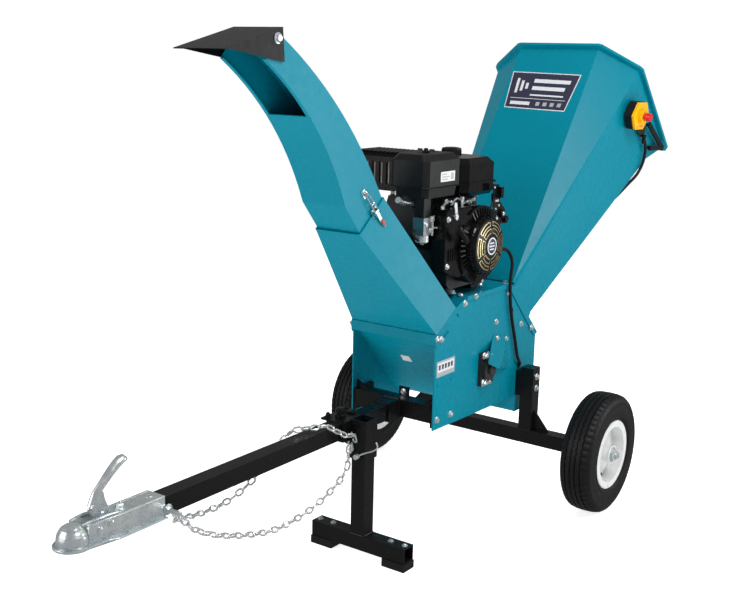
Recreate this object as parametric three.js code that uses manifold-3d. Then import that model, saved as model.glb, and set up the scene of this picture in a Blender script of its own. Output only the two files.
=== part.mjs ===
// Towed wood chipper with a petrol engine, an infeed hopper at the back, a discharge chute at the
// front, two road wheels, a drawbar with a ball coupler and a drop leg.
//
// Millimetres, +Z up. +X is the machine's right-hand side, -Y is the towing direction.
// Everything is laid out from the point on the ground under the axle; the finished group is then
// shifted along Y so that the origin is the bottom centre of the whole machine.

import * as THREE from 'three';
import { mergeVertices } from 'three/addons/utils/BufferGeometryUtils.js';
import Module from 'manifold-3d';

const wasm = await Module();
wasm.setup();

// ---------------------------------------------------------------- driving dimensions

const GAP = 0.3; // clearance between pieces that touch
const SHEET = 3; // thickness of folded sheet metal

// running gear and frame
const TYRE_RADIUS = 208;
const TYRE_HALF_WIDTH = 57;
const TRACK_HALF = 483.5;
const TUBE = 50; // square tube of the axle, posts, drawbar and leg
const TUBE_WALL = 3;
const SPINDLE_RADIUS = 12.7;
const POST_X = 206;
const POST_TOP = 460;
const BAR_BOTTOM = 385; // underside of the drawbar
const BAR_TOP = BAR_BOTTOM + TUBE;
const BAR_REAR = -566; // the drawbar is welded to the front cross member here
const BALL_Y = -1862; // centre of the ball socket
const BALL_Z = 412;
const BALL_RADIUS = 25.4;
const NOSE_RADIUS = 47;

// drop leg
const LEG_X = 64;
const LEG_Y = -805;
const FOOT_LENGTH = 355;
const PAD_HEIGHT = 25;

// body: two side plates that carry the rotor, the engine bed and the hopper
const PLATE_OUT = 161;
const PLATE_THICKNESS = 4;
const PLATE_IN = PLATE_OUT - PLATE_THICKNESS;
const BODY_FRONT = -566;
const BODY_REAR = 110;
const CABLE_HOLE = [-8, 464]; // (y, z) in the right side plate
const BODY_TOP = 768;
const FRONT_SLOPE_Z = 658; // height of the front slope where it starts
const FRONT_SLOPE = 0.637; // rise of the front slope for each millimetre backwards
const REAR_SLOPE_SUM = 668; // y + z along the rear slope, which falls at 45 degrees
const SKIRT_OUT = PLATE_OUT + GAP + PLATE_THICKNESS;

// rotor
const ROTOR_Y = -253;
const ROTOR_Z = 505;
const DRUM_RADIUS = 105;
const KNIFE_RADIUS = 119.5;
const CASING_RADIUS = 127;
const SHAFT_RADIUS = 17.5;
const ROTOR_PULLEY_RADIUS = 92;

// engine
const CRANK_Y = -320;
const CRANK_Z = 933;
const CRANK_RADIUS = 12.7;
const CRANK_PULLEY_RADIUS = 62;
const BED_THICKNESS = 4;
const BED_TOP = BODY_TOP + GAP + BED_THICKNESS;
const BELT_X = -218; // middle of the belt's width

// discharge chute, in the frame of its slip joint
const JOINT_Y = -810.5;
const JOINT_Z = 1068.5;
const JOINT_HALF_DEPTH = 75.3;
const JOINT_HALF_WIDTH = 81;
const UPPER_HALF_WIDTH = 77.6;
const CHUTE_END_TOP = [-1223, 1574];
const CHUTE_END_BOTTOM = [-1272, 1508];

// hopper
const MOUTH_TOP_Y = 487;
const MOUTH_TOP_Z = 1585;
const MOUTH_FALL = [0.688, -0.7257]; // direction down the mouth plane, in Y and Z
const MOUTH_LENGTH = 546; // from the top of the lip to the bottom, in the mouth plane
const LIP_DEPTH = 12;

const REAR_END = MOUTH_TOP_Y + MOUTH_FALL[0] * MOUTH_LENGTH;
const FRONT_END = BALL_Y - NOSE_RADIUS;
const AXLE_Y = -(FRONT_END + REAR_END) / 2;

// ---------------------------------------------------------------- materials

function paint(color, roughness, metalness = 0) {
  return new THREE.MeshStandardMaterial({ color, roughness, metalness });
}

const TEAL = paint(0x0a8196, 0.4);
const FRAME_BLACK = paint(0x1b1c1e, 0.55);
const ENGINE_BLACK = paint(0x141517, 0.3);
const SATIN_BLACK = paint(0x2a2c2e, 0.6);
const ZINC = paint(0xc3c7ca, 0.35, 0.9);
const STEEL = paint(0x8d9195, 0.4, 0.9);
const CAST_IRON = paint(0x3a3c3e, 0.7, 0.5);
const RUBBER = paint(0x1c1c1d, 0.85);
const RIM_WHITE = paint(0xeceeee, 0.35);
const YELLOW = paint(0xf2b705, 0.4);
const RED = paint(0xc81e1e, 0.4);
const LATCH_RED = paint(0xb03a3a, 0.5);

// ---------------------------------------------------------------- shapes

const chipper = new THREE.Group();

/** A closed geometry as a solid: vertices merged, slivers dropped, faces turned outwards. */
function solid(geometry) {
  const bare = geometry.index ? geometry.toNonIndexed() : geometry.clone();
  for (const name of Object.keys(bare.attributes)) {
    if (name !== 'position') bare.deleteAttribute(name);
  }
  const merged = mergeVertices(bare, 1e-4);
  const points = merged.attributes.position.array;
  const corners = merged.index.array;
  const triangles = [];
  let volume = 0;
  for (let i = 0; i < corners.length; i += 3) {
    const [a, b, c] = [corners[i], corners[i + 1], corners[i + 2]];
    if (a === b || b === c || c === a) continue;
    triangles.push(a, b, c);
    const [pa, pb, pc] = [a, b, c].map((k) => new THREE.Vector3().fromArray(points, 3 * k));
    volume += pa.dot(pb.cross(pc));
  }
  if (volume < 0) triangles.reverse();
  return new wasm.Manifold(new wasm.Mesh({
    numProp: 3,
    vertProperties: Float32Array.from(points),
    triVerts: Uint32Array.from(triangles),
  }));
}

function join(first, ...others) {
  return others.reduce((whole, part) => whole.add(part), first);
}

function cut(body, ...tools) {
  return tools.reduce((rest, tool) => rest.subtract(tool), body);
}

/** Adds a named piece to the machine. */
function piece(name, shape, material) {
  const { vertProperties, triVerts, numProp } = shape.getMesh();
  const geometry = new THREE.BufferGeometry();
  const points = new Float32Array((vertProperties.length / numProp) * 3);
  for (let i = 0; i < points.length / 3; i++) {
    for (let k = 0; k < 3; k++) points[3 * i + k] = vertProperties[numProp * i + k];
  }
  geometry.setAttribute('position', new THREE.BufferAttribute(points, 3));
  geometry.setIndex(Array.from(triVerts));
  geometry.computeVertexNormals();
  const mesh = new THREE.Mesh(geometry, material);
  mesh.name = name;
  chipper.add(mesh);
}

/** A box between two limits on each axis; the limits may come in either order. */
function box([x0, x1], [y0, y1], [z0, z1]) {
  const size = [x1 - x0, y1 - y0, z1 - z0].map(Math.abs);
  const geometry = new THREE.BoxGeometry(...size);
  geometry.translate((x0 + x1) / 2, (y0 + y1) / 2, (z0 + z1) / 2);
  return solid(geometry);
}

// Turns a shape drawn in XY and grown along Z so that it grows along another axis.
const GROW_ALONG = {
  x: new THREE.Matrix4().makeBasis(
    new THREE.Vector3(0, 1, 0), new THREE.Vector3(0, 0, 1), new THREE.Vector3(1, 0, 0)),
  y: new THREE.Matrix4().makeBasis(
    new THREE.Vector3(1, 0, 0), new THREE.Vector3(0, 0, 1), new THREE.Vector3(0, -1, 0)),
  z: new THREE.Matrix4(),
};

/** An outline in the plane across an axis (YZ, XZ or XY) given thickness along that axis. */
function prism(axis, outline, [from, to]) {
  const [low, high] = [Math.min(from, to), Math.max(from, to)];
  const shape = new THREE.Shape(outline.map(([a, b]) => new THREE.Vector2(a, b)));
  const geometry = new THREE.ExtrudeGeometry(shape, { depth: high - low, bevelEnabled: false });
  geometry.translate(0, 0, axis === 'y' ? -high : low);
  geometry.applyMatrix4(GROW_ALONG[axis]);
  return solid(geometry);
}

/** Points round a circle. */
function circle([a, b], radius, count) {
  return arc([a, b], radius, 0, 360 - 360 / count, count - 1);
}

/** Points along an arc between two angles in degrees, both ends included. */
function arc([a, b], radius, from, to, steps) {
  return Array.from({ length: steps + 1 }, (_, i) => {
    const angle = THREE.MathUtils.degToRad(from + ((to - from) * i) / steps);
    return [a + radius * Math.cos(angle), b + radius * Math.sin(angle)];
  });
}

/** A round bar along an axis, at a centre in the plane across it. */
function bar(axis, centre, radius, limits, sides = 24) {
  return prism(axis, circle(centre, radius, sides), limits);
}

/** A profile of [radius, x] pairs, closed on itself, turned about the X axis at (y, z). */
function turned(profile, [y, z], sides) {
  const points = [...profile, profile[0]].map(([r, h]) => new THREE.Vector2(r, h));
  const geometry = new THREE.LatheGeometry(points, sides);
  geometry.rotateZ(-Math.PI / 2);
  geometry.translate(0, y, z);
  return solid(geometry);
}

/** A profile of [radius, z] pairs that starts and ends on the axis, turned about the upright at (x, y). */
function turnedUp(profile, [x, y], sides = 28) {
  const geometry = new THREE.LatheGeometry(profile.map((p) => new THREE.Vector2(...p)), sides);
  geometry.rotateX(Math.PI / 2);
  geometry.translate(x, y, 0);
  return solid(geometry);
}

function ball(radius, y, z) {
  const geometry = new THREE.SphereGeometry(radius, 24, 12);
  geometry.translate(0, y, z);
  return solid(geometry);
}

/** A solid between rings of points, each [x, y, z], with the same count in each ring. */
function loft(...rings) {
  const count = rings[0].length;
  const corners = [];
  const quad = (a, b, c, d) => corners.push(a, b, c, a, c, d);
  for (let r = 0; r + 1 < rings.length; r++) {
    for (let i = 0; i < count; i++) {
      const j = (i + 1) % count;
      quad(rings[r][i], rings[r][j], rings[r + 1][j], rings[r + 1][i]);
    }
  }
  const last = rings[rings.length - 1];
  for (let i = 1; i + 1 < count; i++) {
    corners.push(rings[0][0], rings[0][i + 1], rings[0][i]);
    corners.push(last[0], last[i], last[i + 1]);
  }
  const geometry = new THREE.BufferGeometry();
  geometry.setAttribute('position', new THREE.Float32BufferAttribute(corners.flat(), 3));
  return solid(geometry);
}

/** An open line of 2-D points moved sideways, to its left when positive, with mitred corners. */
function offset(line, distance) {
  return line.map((point, i) => {
    const normals = [];
    for (const [from, to] of [[i - 1, i], [i, i + 1]]) {
      if (from < 0 || to >= line.length) continue;
      const direction = new THREE.Vector2(
        line[to][0] - line[from][0], line[to][1] - line[from][1]).normalize();
      normals.push(new THREE.Vector2(-direction.y, direction.x));
    }
    const mean = normals.length === 2 ? normals[0].clone().add(normals[1]).normalize() : normals[0];
    const reach = distance / mean.dot(normals[0]);
    return [point[0] + mean.x * reach, point[1] + mean.y * reach];
  });
}

/** The outline of a folded sheet: a line, given thickness to its left. */
function ribbon(line, thickness) {
  return [...line, ...offset(line, thickness).reverse()];
}

/** Points of a smooth bend between two ends, pulled towards a control point. */
function bend(start, control, end, steps) {
  const curve = new THREE.QuadraticBezierCurve(
    new THREE.Vector2(...start), new THREE.Vector2(...control), new THREE.Vector2(...end));
  return curve.getPoints(steps).map((p) => [p.x, p.y]);
}

/** A round bar or cord along a smooth route of [x, y, z] points. */
function cord(route, radius, sides, steps, tension = 0.5) {
  const path = new THREE.CatmullRomCurve3(
    route.map((p) => new THREE.Vector3(...p)), false, 'catmullrom', tension);
  const section = new THREE.Shape(circle([0, 0], radius, sides).map((p) => new THREE.Vector2(...p)));
  return solid(new THREE.ExtrudeGeometry(section, { steps, extrudePath: path }));
}

const mirrored = ([x, y, z]) => [-x, y, z];
const SIDES = [['left', -1], ['right', 1]];

// ---------------------------------------------------------------- running gear

function buildAxleFrame() {
  const half = TUBE / 2;
  const beam = box([-390, 390], [-half, half], [TYRE_RADIUS - half, TYRE_RADIUS + half]);
  const beamTop = TYRE_RADIUS + half;
  const parts = [beam];
  for (const [, side] of SIDES) {
    const postIn = side * (POST_X - half);
    const postOut = side * (POST_X + half);
    const padIn = side * (PLATE_OUT + GAP);
    parts.push(box([postIn, postOut], [-half, half], [beamTop - 1, POST_TOP]));
    parts.push(box([padIn, postIn + side], [-half, half], [355, POST_TOP - 15]));
    const gusset = [[postOut - side, 305], [postOut - side, beamTop - 1], [postOut + side * 60, beamTop - 1]];
    parts.push(prism('y', gusset, [-4, 4]));
    parts.push(bar('x', [0, TYRE_RADIUS], 19, [side * 389, side * 436]));
    parts.push(bar('x', [0, TYRE_RADIUS], SPINDLE_RADIUS, [side * 435, side * 531]));
  }
  const wallIn = half - TUBE_WALL;
  const hollows = [box([-386, 386], [-wallIn, wallIn], [TYRE_RADIUS - wallIn, TYRE_RADIUS + wallIn])];
  for (const [, side] of SIDES) {
    const centre = side * POST_X;
    hollows.push(box([centre - wallIn, centre + wallIn], [-wallIn, wallIn],
      [TYRE_RADIUS, POST_TOP - TUBE_WALL]));
  }
  const drain = bar('z', [0, 0], 6, [TYRE_RADIUS - half - 5, TYRE_RADIUS], 12);
  piece('axle_frame', cut(join(...parts), ...hollows, drain), FRAME_BLACK);
}

function buildWheel(label, side) {
  const centre = [0, TYRE_RADIUS];
  const across = (profile) => profile.map(([r, h]) => [r, side * (TRACK_HALF + h)]);
  const outside = [[101.4, 38], [119, 45], [130, 54], [160, TYRE_HALF_WIDTH], [190, 53], [202, 44],
    [TYRE_RADIUS, 25]];
  const inside = [[198, 20], [190, 40], [160, 48], [132, 45], [101.4, 28]];
  const otherSide = (profile) => profile.map(([r, h]) => [r, -h]).reverse();
  const tyre = [...outside, ...otherSide(outside), ...otherSide(inside), ...inside];
  piece(`tyre_${label}`, turned(across(tyre), centre, 40), RUBBER);

  const barrel = [[97, -50], [118, -50], [118, -46], [101, -39], [101, 39], [118, 46], [118, 50], [97, 50]];
  const disc = [[26, 2], [60, 10], [98, 4], [98, 8], [60, 14], [26, 6]];
  const hub = [[SPINDLE_RADIUS + GAP, -46], [26, -46], [30, -20], [30, 20], [26, 47],
    [SPINDLE_RADIUS + GAP, 47]];
  const rim = join(...[barrel, disc, hub].map((profile) => turned(across(profile), centre, 32)));
  piece(`rim_${label}`, rim, RIM_WHITE);

  const washer = bar('x', centre, 22, [side * 531.3, side * 535]);
  const nut = bar('x', centre, 17, [side * 534, side * 549], 6);
  const cap = bar('x', centre, 11, [side * 548, side * 556]);
  piece(`hub_nut_${label}`, join(washer, nut, cap), ZINC);
}

// ---------------------------------------------------------------- drawbar and coupler

function buildFrontFrame() {
  const tube = box([-150, 150], [BODY_FRONT, BODY_FRONT + TUBE], [BAR_BOTTOM, BAR_TOP + 8]);
  const parts = [tube];
  for (const [, side] of SIDES) {
    const plateOut = side * (PLATE_IN - GAP);
    parts.push(box([side * 149, plateOut], [BODY_FRONT + 1, BODY_FRONT + 108], [370, BAR_TOP + 8]));
    const gusset = [[side * 105, BAR_TOP + 7], [plateOut, BAR_TOP + 7], [plateOut, BAR_TOP + 34]];
    parts.push(prism('y', gusset, [BODY_FRONT + 22, BODY_FRONT + 28]));
  }
  const lug = box([-6, 30], [-515, -507], [BAR_TOP - 20, 468]);
  const lugFoot = box([-6, 30], [-520, -507], [BAR_TOP - 30, BAR_TOP - 5]);
  const socket = box([-31, 31], [BAR_REAR - 60, BAR_REAR + 1], [BAR_BOTTOM - 6, BAR_TOP + 6]);
  const half = TUBE / 2 + GAP;
  const bore = box([-half, half], [BAR_REAR - 70, BAR_REAR - GAP], [BAR_BOTTOM - GAP, BAR_TOP + GAP]);
  piece('front_crossmember', cut(join(...parts, lug, lugFoot, socket), bore), FRAME_BLACK);
  const length = [-1700, BAR_REAR - 2 * GAP];
  const wallIn = TUBE / 2 - TUBE_WALL;
  const drawbar = box([-TUBE / 2, TUBE / 2], length, [BAR_BOTTOM, BAR_TOP]);
  const hollow = box([-wallIn, wallIn], [-1710, -500], [BAR_BOTTOM + TUBE_WALL, BAR_TOP - TUBE_WALL]);
  piece('drawbar', cut(drawbar, hollow), FRAME_BLACK);
}

function buildCoupler() {
  const rear = box([-29, 29], [-1745, -1596], [BAR_BOTTOM - 2, BAR_TOP + 6]);
  const section = (y, halfWidth, low, high) => [
    [-halfWidth, y, low], [halfWidth, y, low], [halfWidth, y, high], [-halfWidth, y, high]];
  const neck = loft(section(-1744, 29, BAR_BOTTOM - 2, BAR_TOP + 6), section(BALL_Y + 22, 33, 396, 446));
  const dome = turnedUp([[0, 396], [38, 396], [38, BALL_Z], [36, BALL_Z + 14], [28, BALL_Z + 28],
    [16, BALL_Z + 36], [0, BALL_Z + 39]], [0, BALL_Y]);
  const brim = turnedUp([[0, 394], [NOSE_RADIUS, 394], [NOSE_RADIUS, 399], [0, 399]], [0, BALL_Y]);
  const flange = loft(
    [[-40, -1596, 383], [40, -1596, 383], [40, -1745, 383], [44, BALL_Y, 394], [-44, BALL_Y, 394],
      [-40, -1745, 383]],
    [[-40, -1596, 387], [40, -1596, 387], [40, -1745, 387], [44, BALL_Y, 399], [-44, BALL_Y, 399],
      [-40, -1745, 387]]);
  const socket = turnedUp(
    [[0, 380], [BALL_RADIUS, 380], ...arc([0, BALL_Z], BALL_RADIUS, 0, 90, 6).map(([r, z]) =>
      [Math.max(r, 0), z])],
    [0, BALL_Y]);
  const channel = box([-25.3, 25.3], [-1840, -1590], [370, BAR_TOP + GAP]);
  const slot = box([-12, 12], [-1842, -1752], [430, 470]);
  const jawWay = box([-17, 17], [-1858, -1830], [380, 404]);
  const shell = cut(join(rear, neck, dome, brim, flange), socket, channel, slot, jawWay);
  const pin = bar('x', [-1770, 440], 4, [-28, 28], 12);
  piece('coupler_body', join(shell, pin), ZINC);

  const lever = prism('x', [[-1832, 468], [-1826, 478], [-1706, 571], [-1694, 574], [-1684, 566],
    [-1684, 554], [-1748, 500], [-1757, 448], [-1763, 432], [-1776, 431], [-1792, 452], [-1816, 458]],
      [-9, 9]);
  piece('coupler_lever', cut(lever, bar('x', [-1770, 440], 4 + GAP, [-12, 12], 12)), ZINC);

  const jaw = cut(box([-16, 16], [-1852, -1806], [388, 403]), ball(BALL_RADIUS + GAP, BALL_Y, BALL_Z));
  piece('coupler_jaw', jaw, STEEL);
}

// ---------------------------------------------------------------- drop leg and safety chains

function buildLeg() {
  const half = TUBE / 2;
  const sleeveHalf = half + 5;
  const clampY = [LEG_Y - 65, LEG_Y + 65];
  const sleeve = box([LEG_X - sleeveHalf, LEG_X + sleeveHalf], [LEG_Y - sleeveHalf, LEG_Y + sleeveHalf],
    [322, 446]);
  const web = box([25 + GAP, LEG_X - sleeveHalf + 1], clampY, [BAR_BOTTOM - 6.3, BAR_TOP + 6.3]);
  const topPlate = box([-52, 26], clampY, [BAR_TOP + GAP, BAR_TOP + 6.3]);
  const bottomPlate = box([-52, 26], clampY, [BAR_BOTTOM - 6.3, BAR_BOTTOM - GAP]);
  const bossCentre = [LEG_X + 6, 336];
  const boss = bar('y', bossCentre, 10, [LEG_Y - sleeveHalf - 6, LEG_Y - sleeveHalf + 1], 16);
  const legHole = half + GAP;
  const bore = box([LEG_X - legHole, LEG_X + legHole], [LEG_Y - legHole, LEG_Y + legHole], [300, 470]);
  const screwHole = bar('y', bossCentre, 5 + GAP, [LEG_Y - 60, LEG_Y - legHole], 16);
  piece('leg_bracket', cut(join(sleeve, web, topPlate, bottomPlate, boss), bore, screwHole), FRAME_BLACK);

  const screw = bar('y', bossCentre, 5, [LEG_Y - 50, LEG_Y - legHole - GAP], 16);
  const head = bar('y', bossCentre, 8, [LEG_Y - 50, LEG_Y - sleeveHalf - 6.3], 16);
  const headY = LEG_Y - 46;
  const handle = cord([[bossCentre[0], headY, bossCentre[1]], [bossCentre[0] + 22, headY, 350],
    [bossCentre[0] + 66, headY, 372], [bossCentre[0] + 80, headY, 386], [bossCentre[0] + 74, headY, 400]],
      2.5, 8, 16);
  piece('leg_clamp_screw', join(screw, head, handle), ZINC);

  const footX = [LEG_X - FOOT_LENGTH / 2, LEG_X + FOOT_LENGTH / 2];
  const foot = box(footX, [LEG_Y - half, LEG_Y + half], [PAD_HEIGHT, PAD_HEIGHT + TUBE]);
  const tube = box([LEG_X - half, LEG_X + half], [LEG_Y - half, LEG_Y + half], [PAD_HEIGHT + TUBE - 1, 438]);
  const hollow = box([footX[0] - 5, footX[1] + 5], [LEG_Y - half + 4, LEG_Y + half - 4],
    [PAD_HEIGHT + 4, PAD_HEIGHT + TUBE - 4]);
  const wallIn = half - TUBE_WALL;
  const tubeHollow = box([LEG_X - wallIn, LEG_X + wallIn], [LEG_Y - wallIn, LEG_Y + wallIn],
    [PAD_HEIGHT + TUBE + TUBE_WALL, 450]);
  piece('support_leg', cut(join(foot, tube), hollow, tubeHollow), FRAME_BLACK);
  for (const [label, side] of SIDES) {
    const end = LEG_X + side * (FOOT_LENGTH / 2 + 2);
    piece(`foot_pad_${label}`, box([end, end - side * 82], [LEG_Y - half - 3, LEG_Y + half + 3],
      [0, PAD_HEIGHT - GAP]), RUBBER);
  }
}

function buildChains() {
  const leftRoute = [[37, -1576, 391], [24, -1556, 362], [6, -1528, 350], [-22, -1480, 330],
    [-46, -1396, 306],
    [-50, -1290, 304], [-48, -1195, 332], [-44, -1110, 384], [-40, -1062, 424], [-27, -1030, 447],
    [0, -985, 449], [27, -942, 448], [44, -908, 426], [53, -880, 410], [60, -852, 404]];
  const rightRoute = [[56, -1576, 391], [54, -1556, 366], [50, -1500, 318], [49, -1391, 266],
    [47, -1225, 219], [46, -1098, 215],
    [46, -997, 231], [45, -900, 266], [44, -862, 298], [43, -853, 335], [46, -852, 368]];
  piece('safety_chain_left', cord(leftRoute, 8, 8, 40), ZINC);
  piece('safety_chain_right', cord(rightRoute, 8, 8, 34), ZINC);
}

// ---------------------------------------------------------------- body

const frontSlope = (y) => FRONT_SLOPE_Z + FRONT_SLOPE * (y - BODY_FRONT);
const FRONT_SLOPE_END = BODY_FRONT + (BODY_TOP - FRONT_SLOPE_Z) / FRONT_SLOPE;
const REAR_SLOPE_START = REAR_SLOPE_SUM - BODY_TOP;

function buildSidePlates() {
  const outline = [[BODY_FRONT, 362], [-24, 350], [-24, 290], [45, 290], [BODY_REAR, 400],
    [BODY_REAR, REAR_SLOPE_SUM - BODY_REAR], [REAR_SLOPE_START, BODY_TOP], [FRONT_SLOPE_END, BODY_TOP],
    [BODY_FRONT, FRONT_SLOPE_Z]];
  for (const [label, side] of SIDES) {
    const limits = [side * PLATE_IN, side * PLATE_OUT];
    const holes = [bar('x', [ROTOR_Y, ROTOR_Z], 30, [side * 150, side * 170], 28)];
    if (side > 0) holes.push(bar('x', CABLE_HOLE, 9, [150, 170], 16));
    piece(`side_plate_${label}`, cut(prism('x', outline, limits), ...holes), TEAL);
  }
}

function buildEngineBed() {
  const under = BODY_TOP + GAP;
  const line = [[-452, frontSlope(-452) + GAP], [FRONT_SLOPE_END, under], [REAR_SLOPE_START - 2, under]];
  const slope = prism('x', ribbon(line, BED_THICKNESS), [-PLATE_OUT, PLATE_OUT]);
  const flat = box([-SKIRT_OUT, SKIRT_OUT], [FRONT_SLOPE_END + 4, REAR_SLOPE_START - 2], [under, BED_TOP]);
  const skirts = SIDES.map(([, side]) => box([side * (PLATE_OUT + GAP), side * SKIRT_OUT],
    [FRONT_SLOPE_END + 4, REAR_SLOPE_START - 2], [BODY_TOP - 12, BED_TOP - 1]));
  piece('engine_bed', join(slope, flat, ...skirts), TEAL);
}

const rotorCircle = (radius, from, to, steps) => arc([ROTOR_Y, ROTOR_Z], radius, from, to, steps);

function buildCasings() {
  const limits = [-(PLATE_IN - GAP), PLATE_IN - GAP];
  // Round under the drum, then straight up to the front as the ramp that throws the chips out.
  const rampAngle = -138.7;
  const under = rotorCircle(CASING_RADIUS, -24, rampAngle, 14);
  const [rampY, rampZ] = under[under.length - 1];
  const heading = THREE.MathUtils.degToRad(rampAngle - 90);
  const rampLength = 318;
  const rampEnd = [rampY + rampLength * Math.cos(heading), rampZ + rampLength * Math.sin(heading)];
  piece('rotor_casing', prism('x', ribbon([...under, rampEnd], SHEET), limits), TEAL);

  // Closes the top of the drum between the feed opening and the foot of the chute.
  const hood = [[REAR_SLOPE_START - 2, BODY_TOP - 8], ...rotorCircle(CASING_RADIUS, 77, 115, 6),
    [-448, frontSlope(-448) - 3]];
  piece('rotor_hood', prism('x', ribbon(hood, -SHEET), limits), TEAL);
}

const FLOOR_TOP = [56, 609];
const FLOOR_HEADING = [-0.8356, -0.5496]; // down the feed floor towards the drum
const onFloor = (along, below) => [
  FLOOR_TOP[0] + FLOOR_HEADING[0] * along - FLOOR_HEADING[1] * below,
  FLOOR_TOP[1] + FLOOR_HEADING[1] * along + FLOOR_HEADING[0] * below];

function buildFeed() {
  const limits = [-(PLATE_IN - GAP), PLATE_IN - GAP];
  const floor = [onFloor(0, 0), onFloor(208, 0), onFloor(208, 4), onFloor(0, 4)];
  piece('feed_floor', prism('x', floor, limits), TEAL);
  const knife = [onFloor(208.3, 0), onFloor(227, 0), onFloor(222, 16), onFloor(150, 16), onFloor(150, 4.3),
    onFloor(208.3, 4.3)];
  piece('bed_knife', prism('x', knife, [-150, 150]), STEEL);
  piece('rear_panel', box(limits, [-22, -18.5], [291, 548]), TEAL);
}

// ---------------------------------------------------------------- rotor and belt drive

const KNIFE_ANGLES = [35, 215];

/** Turns [radius, tangent] points about the rotor's axis to an angle in degrees. */
function atRotorAngle(points, degrees) {
  const angle = THREE.MathUtils.degToRad(degrees);
  return points.map(([r, t]) => [
    ROTOR_Y + r * Math.cos(angle) - t * Math.sin(angle),
    ROTOR_Z + r * Math.sin(angle) + t * Math.cos(angle)]);
}

function buildRotor() {
  const centre = [ROTOR_Y, ROTOR_Z];
  const drum = bar('x', centre, DRUM_RADIUS, [-150, 150], 36);
  const shaft = bar('x', centre, SHAFT_RADIUS, [-242, 196], 24);
  const pocket = [[84, -18], [125, -18], [125, 18], [84, 18]];
  const pockets = KNIFE_ANGLES.map((angle) => prism('x', atRotorAngle(pocket, angle), [-160, 160]));
  // The ends are recessed, so the drum is a rim on a central web.
  const recesses = SIDES.map(([, side]) => bar('x', centre, 74, [side * 22, side * 160], 30));
  const hub = bar('x', centre, 30, [-150, 150], 24);
  piece('rotor_drum', join(cut(drum, ...pockets, ...recesses), hub, shaft), CAST_IRON);
  const knife = [[84 + GAP, -14], [106, -14], [KNIFE_RADIUS, 6], [118, 9], [109, 14], [84 + GAP, 14]];
  KNIFE_ANGLES.forEach((angle, i) => {
    piece(`knife_${i + 1}`, prism('x', atRotorAngle(knife, angle), [-148, 148]), STEEL);
  });
  for (const [label, side] of SIDES) {
    const start = PLATE_OUT + GAP;
    const flange = box([side * start, side * (start + 13)], [ROTOR_Y - 42, ROTOR_Y + 42],
      [ROTOR_Z - 56, ROTOR_Z + 56]);
    const boss = bar('x', centre, 38, [side * start, side * (start + 26)], 24);
    const bore = bar('x', centre, SHAFT_RADIUS + GAP, [side * 150, side * 200], 24);
    piece(`bearing_${label}`, cut(join(flange, boss), bore), CAST_IRON);
  }
}

function pulley(centre, radius, bore) {
  const rim = radius + 3;
  const groove = radius - 14;
  return turned([[bore, BELT_X - 19], [rim, BELT_X - 19], [rim, BELT_X - 16], [groove, BELT_X - 14],
    [groove, BELT_X + 14], [rim, BELT_X + 16], [rim, BELT_X + 19], [bore, BELT_X + 19]], centre, 32);
}

/** The outline of a band pulled tight round two circles. */
function tightLoop([c1, r1], [c2, r2], steps) {
  const apart = [c2[0] - c1[0], c2[1] - c1[1]];
  const heading = THREE.MathUtils.radToDeg(Math.atan2(apart[1], apart[0]));
  const lean = THREE.MathUtils.radToDeg(Math.acos((r1 - r2) / Math.hypot(...apart)));
  return [...arc(c1, r1, heading + lean, heading + 360 - lean, steps),
    ...arc(c2, r2, heading - lean, heading + lean, steps)];
}

function buildDrive() {
  const rotor = [ROTOR_Y, ROTOR_Z];
  const crank = [CRANK_Y, CRANK_Z];
  piece('rotor_pulley', pulley(rotor, ROTOR_PULLEY_RADIUS, SHAFT_RADIUS + GAP), CAST_IRON);
  piece('clutch_pulley', pulley(crank, CRANK_PULLEY_RADIUS, CRANK_RADIUS + GAP), CAST_IRON);
  const width = [BELT_X - 13.5, BELT_X + 13.5];
  const outer = tightLoop([rotor, ROTOR_PULLEY_RADIUS], [crank, CRANK_PULLEY_RADIUS], 14);
  const inner = tightLoop([rotor, ROTOR_PULLEY_RADIUS - 12.5], [crank, CRANK_PULLEY_RADIUS - 12.5], 14);
  piece('drive_belt', cut(prism('x', outer, width), prism('x', inner, [-300, -150])), RUBBER);

  const back = -(SKIRT_OUT + GAP);
  const shell = prism('x', tightLoop([rotor, 118], [crank, 92], 18), [-256, back]);
  const inside = prism('x', tightLoop([rotor, 115.5], [crank, 89.5], 18), [-253, back + 10]);
  piece('belt_guard', cut(shell, inside), TEAL);
}

function sheetPanel(corners, inward) {
  return loft(corners, corners.map((p) => p.map((value, k) => value + SHEET * inward[k])));
}

function buildBearingGuard() {
  const wall = PLATE_OUT + GAP;
  const [topFront, topRear] = [[wall, -205, 596], [wall, -100, 566]];
  const [browFront, browRear] = [[205, -300, 536], [212, -236, 506]];
  const face = sheetPanel([topFront, topRear, browRear, browFront], [-0.887, -0.127, -0.445]);
  const cheek = sheetPanel([topRear, browRear, [wall, -90, 470]], [-0.941, -0.336, -0.035]);
  piece('bearing_guard', cut(join(face, cheek), box([100, wall], [-320, -60], [430, 650])), TEAL);
}

// ---------------------------------------------------------------- discharge chute

const CHUTE_AXIS = [-0.644, 0.765]; // up the chute at the slip joint
const CHUTE_REAR = [0.765, 0.644]; // across it, towards the back

/** A point in YZ from distances up the chute and across it, measured from the slip joint. */
const onChute = (up, across) => [
  JOINT_Y + CHUTE_AXIS[0] * up + CHUTE_REAR[0] * across,
  JOINT_Z + CHUTE_AXIS[1] * up + CHUTE_REAR[1] * across];

/** The point a fraction of the way from one point to another, or beyond it. */
const between = (from, to, fraction) => from.map((value, k) => value + (to[k] - value) * fraction);

const rectangle = (halfWidth, front, rear) => [
  [halfWidth, ...front], [halfWidth, ...rear], [-halfWidth, ...rear], [-halfWidth, ...front]];

function rod(from, to, radius, sides = 12) {
  return cord([from, to], radius, sides, 1);
}

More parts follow.
